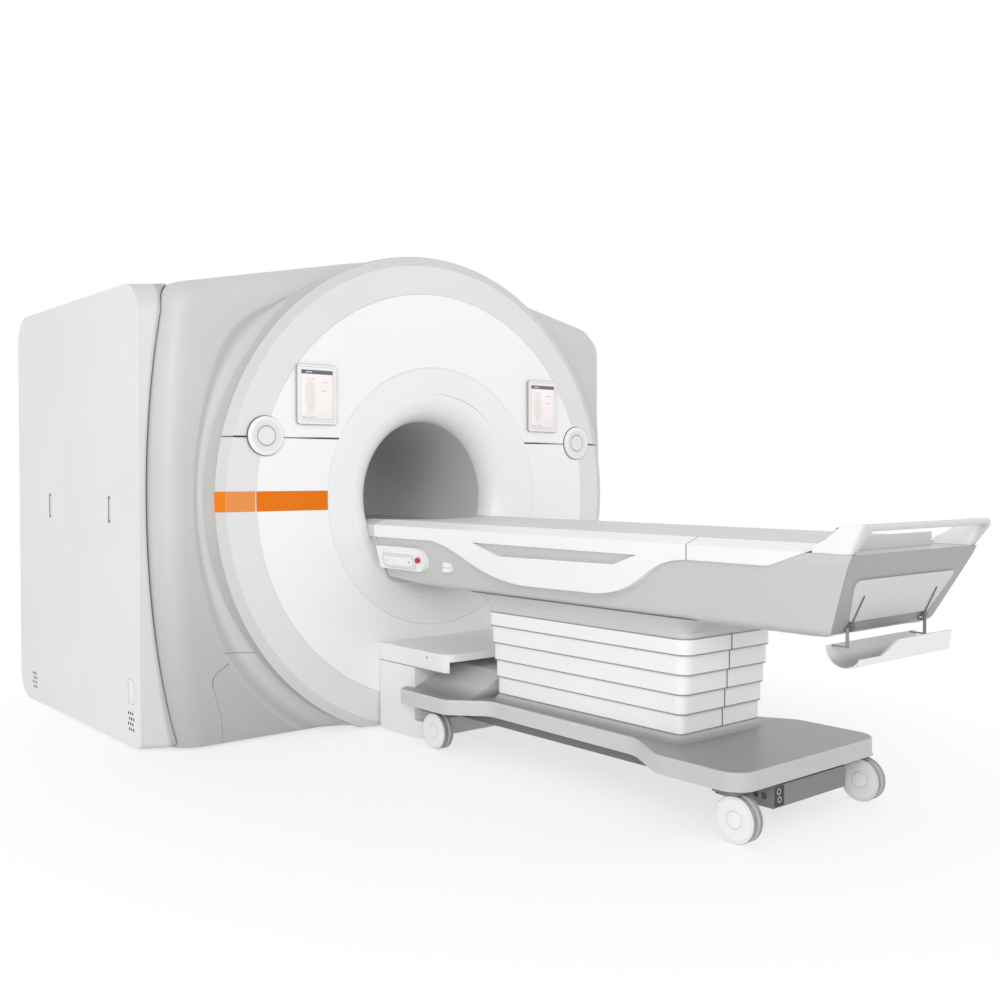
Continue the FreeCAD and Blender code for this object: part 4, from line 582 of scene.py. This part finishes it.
glassPaint = lacquer("displayGlass", display["glassColour"], 0.12, 0.6, peel=0.2)
for finish in (casePaint, glassPaint):
    finish.across = finish.x - finish.x.math("SIGN") * display["middle"]
    finish.up = finish.z - display["height"]
caseEdge = casePaint.outside(casePaint.across, casePaint.up, (0, 0), display["caseHalf"],
                             display["caseRound"])
casePaint.tint(caseEdge.above(-display["caseRim"]), *display["rimTint"])
across, up = glassPaint.across, glassPaint.up
picture = glassPaint.outside(across, up, (0, 0), display["pictureHalf"], display["pictureRound"])
glassPaint.tint(picture.below(0.0), display["pictureColour"])
glassPaint.tint(picture.size().below(display["pictureEdge"]), *display["edgeTint"])
header = up.between(*display["header"]) * across.size().below(display["pictureHalf"][0])
glassPaint.tint(header, display["headerColour"])
markAcross, markUp = display["headerMark"]
glassPaint.tint(up.between(*markUp) * across.between(*markAcross), *display["markTint"])
shapeAcross, shapeUp = display["shape"]
fromShape = glassPaint.radius((across - shapeAcross) * display["shapeNarrow"], up, (0, shapeUp))
glassPaint.tint(fromShape.ramp(*display["shapeFade"]), *display["shapeTint"])
for left, right, level in display["bars"]:
    bar = across.between(left, right) * (up - level).size().below(display["barHalf"])
    glassPaint.tint(bar, *display["barTint"])
dress(casePaint, "displays")
for hand, sign in hands.items():
    place = (sign * display["middle"], display["glassBack"], display["height"])
    slab(f"display_glass_{hand}", "-Y", place, display["glassHalf"], display["glassRound"],
         display["glassLayers"], glassPaint, "magnet")

dial = {
    "place": 0.889, "height": 1.297, "radius": 0.0815, "bore": 0.0406, "button": 0.040,
    "back": -0.9099, "front": -0.9246, "travel": 0.003,
    "gapShadowFaces": (-0.9090, -0.9098), "gapShadowRadii": (0.078, 0.0842),     # a painted shadow: the dark ring behind each dial stands for the shade in the gap round it
    "colour": tone(246), "shadow": tone(120, 120, 122), "gapShadowColour": tone(86, 86, 88),
}
dialPaint = lacquer("dialPaint", dial["colour"], 0.34, 0.3)
# the shade values grey the dial's inner face, and paint shade into the gap between ring and button
dialPaint.tint(dialPaint.attribute("shade"), dial["shadow"])
gapShadowPaint = lacquer("dialGapShadow", dial["gapShadowColour"], 0.6, 0.0)
back, front, outer, inner, cap = (dial[key] for key in ("back", "front", "radius", "bore", "button"))
pressed = back - dial["travel"]
ringProfile = softened([
    (back, inner, 0), (back, outer, 0.2), (front + 0.006, outer, 0), (front + 0.001, outer - 0.005, 0),
    (front, outer - 0.013, 0), (front + 0.0002, outer - 0.016, 0.16), (front + 0.0008, inner + 0.012, 0.16),
    (front + 0.0022, inner + 0.004, 0.2), (front + 0.004, inner, 0.55), (back, inner, 0.8)], 0.004)
buttonProfile = softened([
    (pressed, 0, 0), (pressed, cap, 0.8), (front + 0.0035, cap, 0.4), (front + 0.0008, cap - 0.004, 0.1),
    (front + 0.0016, cap - 0.012, 0.14), (front + 0.0020, 0, 0.12)], 0.003)
(shadowBack, shadowFront), (shadowIn, shadowOut) = dial["gapShadowFaces"], dial["gapShadowRadii"]
gapShadowProfile = np.array([(shadowBack, shadowIn, 0), (shadowBack, shadowOut, 0),
                 (shadowFront, shadowOut, 0), (shadowFront, shadowIn, 0)])
for hand, sign in hands.items():
    centre = (sign * dial["place"], 0, dial["height"])
    ring = lathe(f"dial_{hand}", "Y", centre, ringProfile, dialPaint, f"{hand}_dial")
    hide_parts(f"dial_ring_{hand}")
    button = lathe(f"dial_cap_{hand}", "Y", centre, buttonProfile, dialPaint, f"{hand}_dial_button")
    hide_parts(f"dial_button_{hand}")
    # painted shadow: a dark ring in the gap behind each dial
    lathe(f"dial_gap_shadow_{hand}", "Y", centre, gapShadowProfile, gapShadowPaint, "magnet", closedProfile=True)
print("magnet details set")

# table
endFace = {
    "foot": -3.307, "deck": 0.912,     # where the plane of the table's foot end meets the deck
    "lean": 0.483,
    "thick": 0.004, "hullFrom": -3.0,
    "handleFade": (0.022, 0.004), "handleShade": (tone(176, 176, 174), 0.6),
}


def fromEnd(finish):
    # distance on Y ahead of that leaning plane
    return finish.y - (endFace["foot"] + (endFace["deck"] - finish.z) * endFace["lean"])


hullPaint = lacquer("hullPaint", shades["hull"], 0.38, 0.15)
onEnd = fromEnd(hullPaint).below(endFace["thick"]) * hullPaint.y.below(endFace["hullFrom"])
hullPaint.tint(onEnd, shades["hullEnd"])
dress(hullPaint, "table_hull")

rail = {"seam": -2.7065, "seamHalf": 0.0022, "strength": 0.6}
tablePaint = lacquer("tablePaint", shades["tableWhite"], 0.36, 0.25)
onSeam = (tablePaint.y - rail["seam"]).size().below(rail["seamHalf"])
tablePaint.tint(onSeam, shades["line"], rail["strength"])
dress(tablePaint, "head_frame", "side_rail_left", "side_rail_right")
handlePaint = lacquer("handlePaint", shades["tableWhite"], 0.38, 0.2)
# painted shade on the handle's edges that face the foot end
handlePaint.tint(fromEnd(handlePaint).ramp(*endFace["handleFade"]), *endFace["handleShade"])
dress(handlePaint, "foot_handle")

tray = {
    "hollow": (-3.214, 0.632), "hollowRadius": 0.0595, "hollowFade": (0.632, 0.575),
    "armPlace": 0.2215, "armHalf": 0.0065, "armFrom": -3.262, "armAbove": 0.6265,
    "colour": tone(240), "hollowShade": (tone(150, 150, 148), 0.75),
}
trayPaint = lacquer("trayPaint", tray["colour"], 0.4, 0.15)
inHollow = trayPaint.radius(trayPaint.y, trayPaint.z, tray["hollow"]).below(tray["hollowRadius"])
# painted shade in the bottom of the tray's hollow
trayPaint.tint(inHollow * trayPaint.z.ramp(*tray["hollowFade"]), *tray["hollowShade"])
atArm = (trayPaint.x.size() - tray["armPlace"]).size().below(tray["armHalf"])
atArm = atArm * trayPaint.y.above(tray["armFrom"]) * trayPaint.z.above(tray["armAbove"])
trayPaint.tint(atArm, shades["line"], shades["lineStrength"])
dress(trayPaint, "tray")
boardPaint = lacquer("boardPaint", shades["board"], 0.5, 0.05)
dress(boardPaint, "tabletop")

# the stays and hinges of the tray are part of the end panel, and darker than it
stays = {"place": 0.208, "half": 0.0032, "top": 0.784, "hingeHalf": 0.0095, "hingeTop": 0.7005,
         "colour": tone(108), "panelColour": tone(214)}
endPaint = lacquer("endPaint", stays["panelColour"], 0.42, 0.15)
fromStay = (endPaint.x.size() - stays["place"]).size()
hinge = endPaint.z.below(stays["hingeTop"]) * fromStay.below(stays["hingeHalf"])
strip = fromStay.below(stays["half"]) * endPaint.z.below(stays["top"])
endPaint.tint(strip.most(hinge), stays["colour"])
dress(endPaint, "end_panel")

console = {
    "middle": (-1.090, 0.762), "half": (0.122, 0.031), "round": 0.026, "edge": 0.0016,
    "stop": (-1.240, 0.774), "stopRing": (0.0135, 0.0155),
    "jogDots": ((-1.009, 0.4), (-1.172, 0.9)),         # place and strength
    "jogHeight": 0.7615, "dotRadius": 0.0042,
    "switchMarks": ((-1.420, -1.412), (-1.396, -1.386)), "switchHeight": 0.752, "markHalf": 0.0026,
    "recessTint": (tone(206), 0.45), "edgeTint": (tone(170), 0.6), "ringTint": (tone(150), 0.4),
    "dotColour": tone(70), "markTint": (tone(70), 0.7), "jogColour": tone(249), "switchColour": tone(248),
}
consolePaint = lacquer("consolePaint", shades["tableWhite"], 0.36, 0.2)
recess = consolePaint.outside(consolePaint.y, consolePaint.z, console["middle"], console["half"],
                              console["round"])
consolePaint.tint(recess.below(0.0), *console["recessTint"])
consolePaint.tint(recess.size().below(console["edge"]), *console["edgeTint"])
fromStop = consolePaint.radius(consolePaint.y, consolePaint.z, console["stop"])
consolePaint.tint(fromStop.between(*console["stopRing"]), *console["ringTint"])
dress(consolePaint, "console")
jogPaint = lacquer("jogPaint", console["jogColour"], 0.32, 0.3)
for place, strength in console["jogDots"]:
    fromDot = jogPaint.radius(jogPaint.y, jogPaint.z, (place, console["jogHeight"]))
    jogPaint.tint(fromDot.below(console["dotRadius"]), console["dotColour"], strength)
dress(jogPaint, "jog_bar")
switchPaint = lacquer("switchPaint", console["switchColour"], 0.34, 0.2)
for start, stop in console["switchMarks"]:
    atHeight = (switchPaint.z - console["switchHeight"]).size().below(console["markHalf"])
    switchPaint.tint(switchPaint.y.between(start, stop) * atHeight, *console["markTint"])
dress(switchPaint, "table_switch")
redPaint = lacquer("redPaint", shades["red"], 0.3, 0.4, edge=0.001)
dress(redPaint, "stop_button")

# every band has a line of painted shade at its foot, the first one at its top too, and all have a seam at
# the foot end
band = {"footLine": 0.0048, "topLine": 0.0050, "seamHalf": 0.0040, "seamBack": -2.4,
        "lineTint": (tone(96), 0.75)}
for number in range(1, 6):
    low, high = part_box(f"lift_band_{number}")
    bandPaint = lacquer(f"bandPaint{number}", shades["band"], 0.42, 0.15, edge=0.0015)
    line = (bandPaint.z - low.z).below(band["footLine"])
    if number == 1:
        line = line.most((high.z - bandPaint.z).below(band["topLine"]))
    foldSeam = bandPaint.x.size().below(band["seamHalf"]) * bandPaint.y.below(band["seamBack"])
    bandPaint.tint(line, *band["lineTint"])
    bandPaint.tint(foldSeam, *band["lineTint"])
    dress(bandPaint, f"lift_band_{number}")
print("table finishes set")

# trolley
base = {
    "footFade": (-2.2, -3.0), "topFade": (0.2235, 0.2258), "tongueFade": (0.232, 0.26),
    "footShade": (tone(160), 0.35), "tongueTint": (tone(214), 0.9),
}
basePaint = lacquer("basePaint", shades["baseRim"], 0.42, 0.15)
# painted shade: darker towards the foot end, and on the top, which lies under the table
basePaint.tint(basePaint.y.ramp(*base["footFade"]), *base["footShade"])
basePaint.tint(basePaint.z.ramp(*base["topFade"]), shades["baseTopShade"])
basePaint.tint(basePaint.z.ramp(*base["tongueFade"]), *base["tongueTint"])
dress(basePaint, "base_cover")

battery = {
    "face": -2.93,             # the sockets lie on the side before this
    "field": (-0.174, 0.118), "fieldHalf": (0.026, 0.033), "fieldRound": 0.004,
    "sockets": ((-0.176, 0.132), (-0.172, 0.106)), "socketRim": (0.0070, 0.0102), "rimColour": tone(190),
}
boxPaint = lacquer("boxPaint", shades["box"], 0.5, 0.05)
onFace = boxPaint.y.below(battery["face"])
socketField = boxPaint.outside(boxPaint.x, boxPaint.z, battery["field"], battery["fieldHalf"],
                               battery["fieldRound"])
boxPaint.tint(socketField.below(0.0) * onFace, shades["dark"])
for place in battery["sockets"]:
    socket = boxPaint.radius(boxPaint.x, boxPaint.z, place)
    boxPaint.tint(socket.between(*battery["socketRim"]) * onFace, battery["rimColour"])
dress(boxPaint, "battery_box")

# each wheel is a twin: its half profile, from the slot between the rims to the cap, is mirrored
wheel = {
    "x": 0.3473, "places": {"head": -1.370, "foot": -2.910}, "radius": 0.075, "soft": 0.0022,
    "half": [(0.0072, 0.008, 0.4), (0.0072, 0.0740, 0.3), (0.0084, 0.075, 1.0), (0.0225, 0.075, 0.8),
             (0.0256, 0.0722, 0.0), (0.0260, 0.0690, 0.02), (0.0246, 0.0665, 0.16), (0.0244, 0.0645, 0.12),
             (0.0258, 0.0620, 0.0), (0.0252, 0.0300, 0.04), (0.0240, 0.0284, 0.34), (0.0242, 0.0272, 0.34),
             (0.0272, 0.0256, 0.0), (0.0272, 0.0, 0.0)],
    "treadAndGrooveShade": tone(128, 128, 130), "forkColour": tone(176),
}
wheelPaint = lacquer("wheelPaint", shades["wheel"], 0.42, 0.12)
# the shade values give the tread its darker grey, and paint shade into the slot between the rims and into
# the grooves
wheelPaint.tint(wheelPaint.attribute("shade"), wheel["treadAndGrooveShade"])
mirrored = [(-along, out, shade) for along, out, shade in wheel["half"][::-1]]
wheelProfile = softened(mirrored + wheel["half"], wheel["soft"], steps=3)
forkPaint = lacquer("forkPaint", wheel["forkColour"], 0.4, 0.0, metallic=0.6, edge=0.001)
for end, along in wheel["places"].items():
    for hand, sign in hands.items():
        centre = (sign * wheel["x"], along, wheel["radius"])
        turned = lathe(f"castor_{end}_{hand}", "X", centre, wheelProfile, wheelPaint,
                       f"wheel_{end}_{hand}", steps=72)
        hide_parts(f"castor_wheel_{end}_{hand}")
        dress(forkPaint, f"castor_fork_{end}_{hand}")
print("trolley finishes set")

studio = {
    "cameraPlace": (-3.104, -5.021, 1.142),
    "cameraTurn": 40.28,       # degrees from +Y towards +X
    "cameraDip": 1.38,         # degrees below level
    "lens": 39.8,
    "sensor": 36.0,
    "viewEnd": 100.0,
    "worldLevel": 0.70,
    "keyPlace": (-7.6, -8.4, 4.0),
    "keyPower": 372.0,
    "fillPlace": (5.0, -5.0, 4.0),
    "fillPower": 40.0,
    "lampSize": 5.4,
    "lampTarget": (0, -1.5, 0.8),
    "floorReach": 40.0,
    "floorShade": 0.93,
    "whiteMiddle": -1.2,       # on Y, the middle of the oval in which the floor isn't plain white
    "whiteNarrow": 1.25,       # how many times as long as wide the oval is
    "whiteFade": (1.6, 2.8),   # distances between which the floor turns plain white
    "whiteNear": 0.7,          # share of plain white beneath the object
}


def studioLight():
    # white for the camera and for reflections, a softer level as light
    world = bpy.data.worlds.new("studio")
    scene.world = world
    world.use_nodes = True
    tree = world.node_tree
    tree.nodes.clear()
    path = tree.nodes.new("ShaderNodeLightPath")
    seen = (Wire(tree, path.outputs["Is Camera Ray"]) + Wire(tree, path.outputs["Is Glossy Ray"])
            + Wire(tree, path.outputs["Is Transmission Ray"])).math("MINIMUM", 1.0)
    soft = node(tree, "Background", {}, [(1, 1, 1, 1), studio["worldLevel"]])
    white = node(tree, "Background", {}, [(1, 1, 1, 1), 1.0])
    mixed = node(tree, "MixShader", {}, [seen, soft, white])
    tree.links.new(mixed.socket, tree.nodes.new("ShaderNodeOutputWorld").inputs[0])
    for name, place, power in (("keyLamp", studio["keyPlace"], studio["keyPower"]),
                               ("fillLamp", studio["fillPlace"], studio["fillPower"])):
        lamp = bpy.data.lights.new(name, "AREA")
        lamp.energy = power
        lamp.size = studio["lampSize"]
        holder = bpy.data.objects.new(name, lamp)
        holder.location = place
        ahead = Vector(studio["lampTarget"]) - Vector(place)
        holder.rotation_euler = ahead.to_track_quat("-Z", "Y").to_euler()
        scene.collection.objects.link(holder)


def studioFloor():
    # a pale floor that keeps the shadow near the object and turns plain white for the camera further out
    mesh = bpy.data.meshes.new("studioFloor")
    reach = studio["floorReach"]
    corners = [(-reach, -reach, 0), (reach, -reach, 0), (reach, reach, 0), (-reach, reach, 0)]
    mesh.from_pydata(corners, [], [(0, 1, 2, 3)])
    floor = bpy.data.objects.new("studioFloor", mesh)
    scene.collection.objects.link(floor)
    finish = Finish("paleFloor")
    finish.set(Base_Color=(*[studio["floorShade"]] * 3, 1), Roughness=0.9)
    tree = finish.tree
    path = tree.nodes.new("ShaderNodeLightPath")
    away = finish.radius(finish.x * studio["whiteNarrow"], finish.y, (0, studio["whiteMiddle"]))
    share = away.ramp(*studio["whiteFade"]) * (1 - studio["whiteNear"]) + studio["whiteNear"]
    toCamera, reflected = [Wire(tree, path.outputs[f"Is {kind} Ray"]) for kind in ("Camera", "Glossy")]
    seen = (toCamera * share).most(reflected)
    white = node(tree, "Emission", {}, [(1, 1, 1, 1), 1.0])
    mixed = node(tree, "MixShader", {}, [seen, Wire(tree, finish.shader.outputs[0]), white])
    tree.links.new(mixed.socket, tree.nodes["Material Output"].inputs[0])
    mesh.materials.append(finish.material)


def camera():
    lens = bpy.data.cameras.new("camera")
    lens.lens = studio["lens"]
    lens.sensor_width = studio["sensor"]
    lens.clip_end = studio["viewEnd"]
    holder = bpy.data.objects.new("camera", lens)
    scene.collection.objects.link(holder)
    turn, dip = math.radians(studio["cameraTurn"]), math.radians(studio["cameraDip"])
    ahead = Vector((math.sin(turn) * math.cos(dip), math.cos(turn) * math.cos(dip), -math.sin(dip)))
    holder.rotation_euler = ahead.to_track_quat("-Z", "Y").to_euler()
    holder.location = studio["cameraPlace"]
    scene.camera = holder


scene.view_settings.view_transform = "Standard"
studioLight()
studioFloor()
camera()
print("studio set")
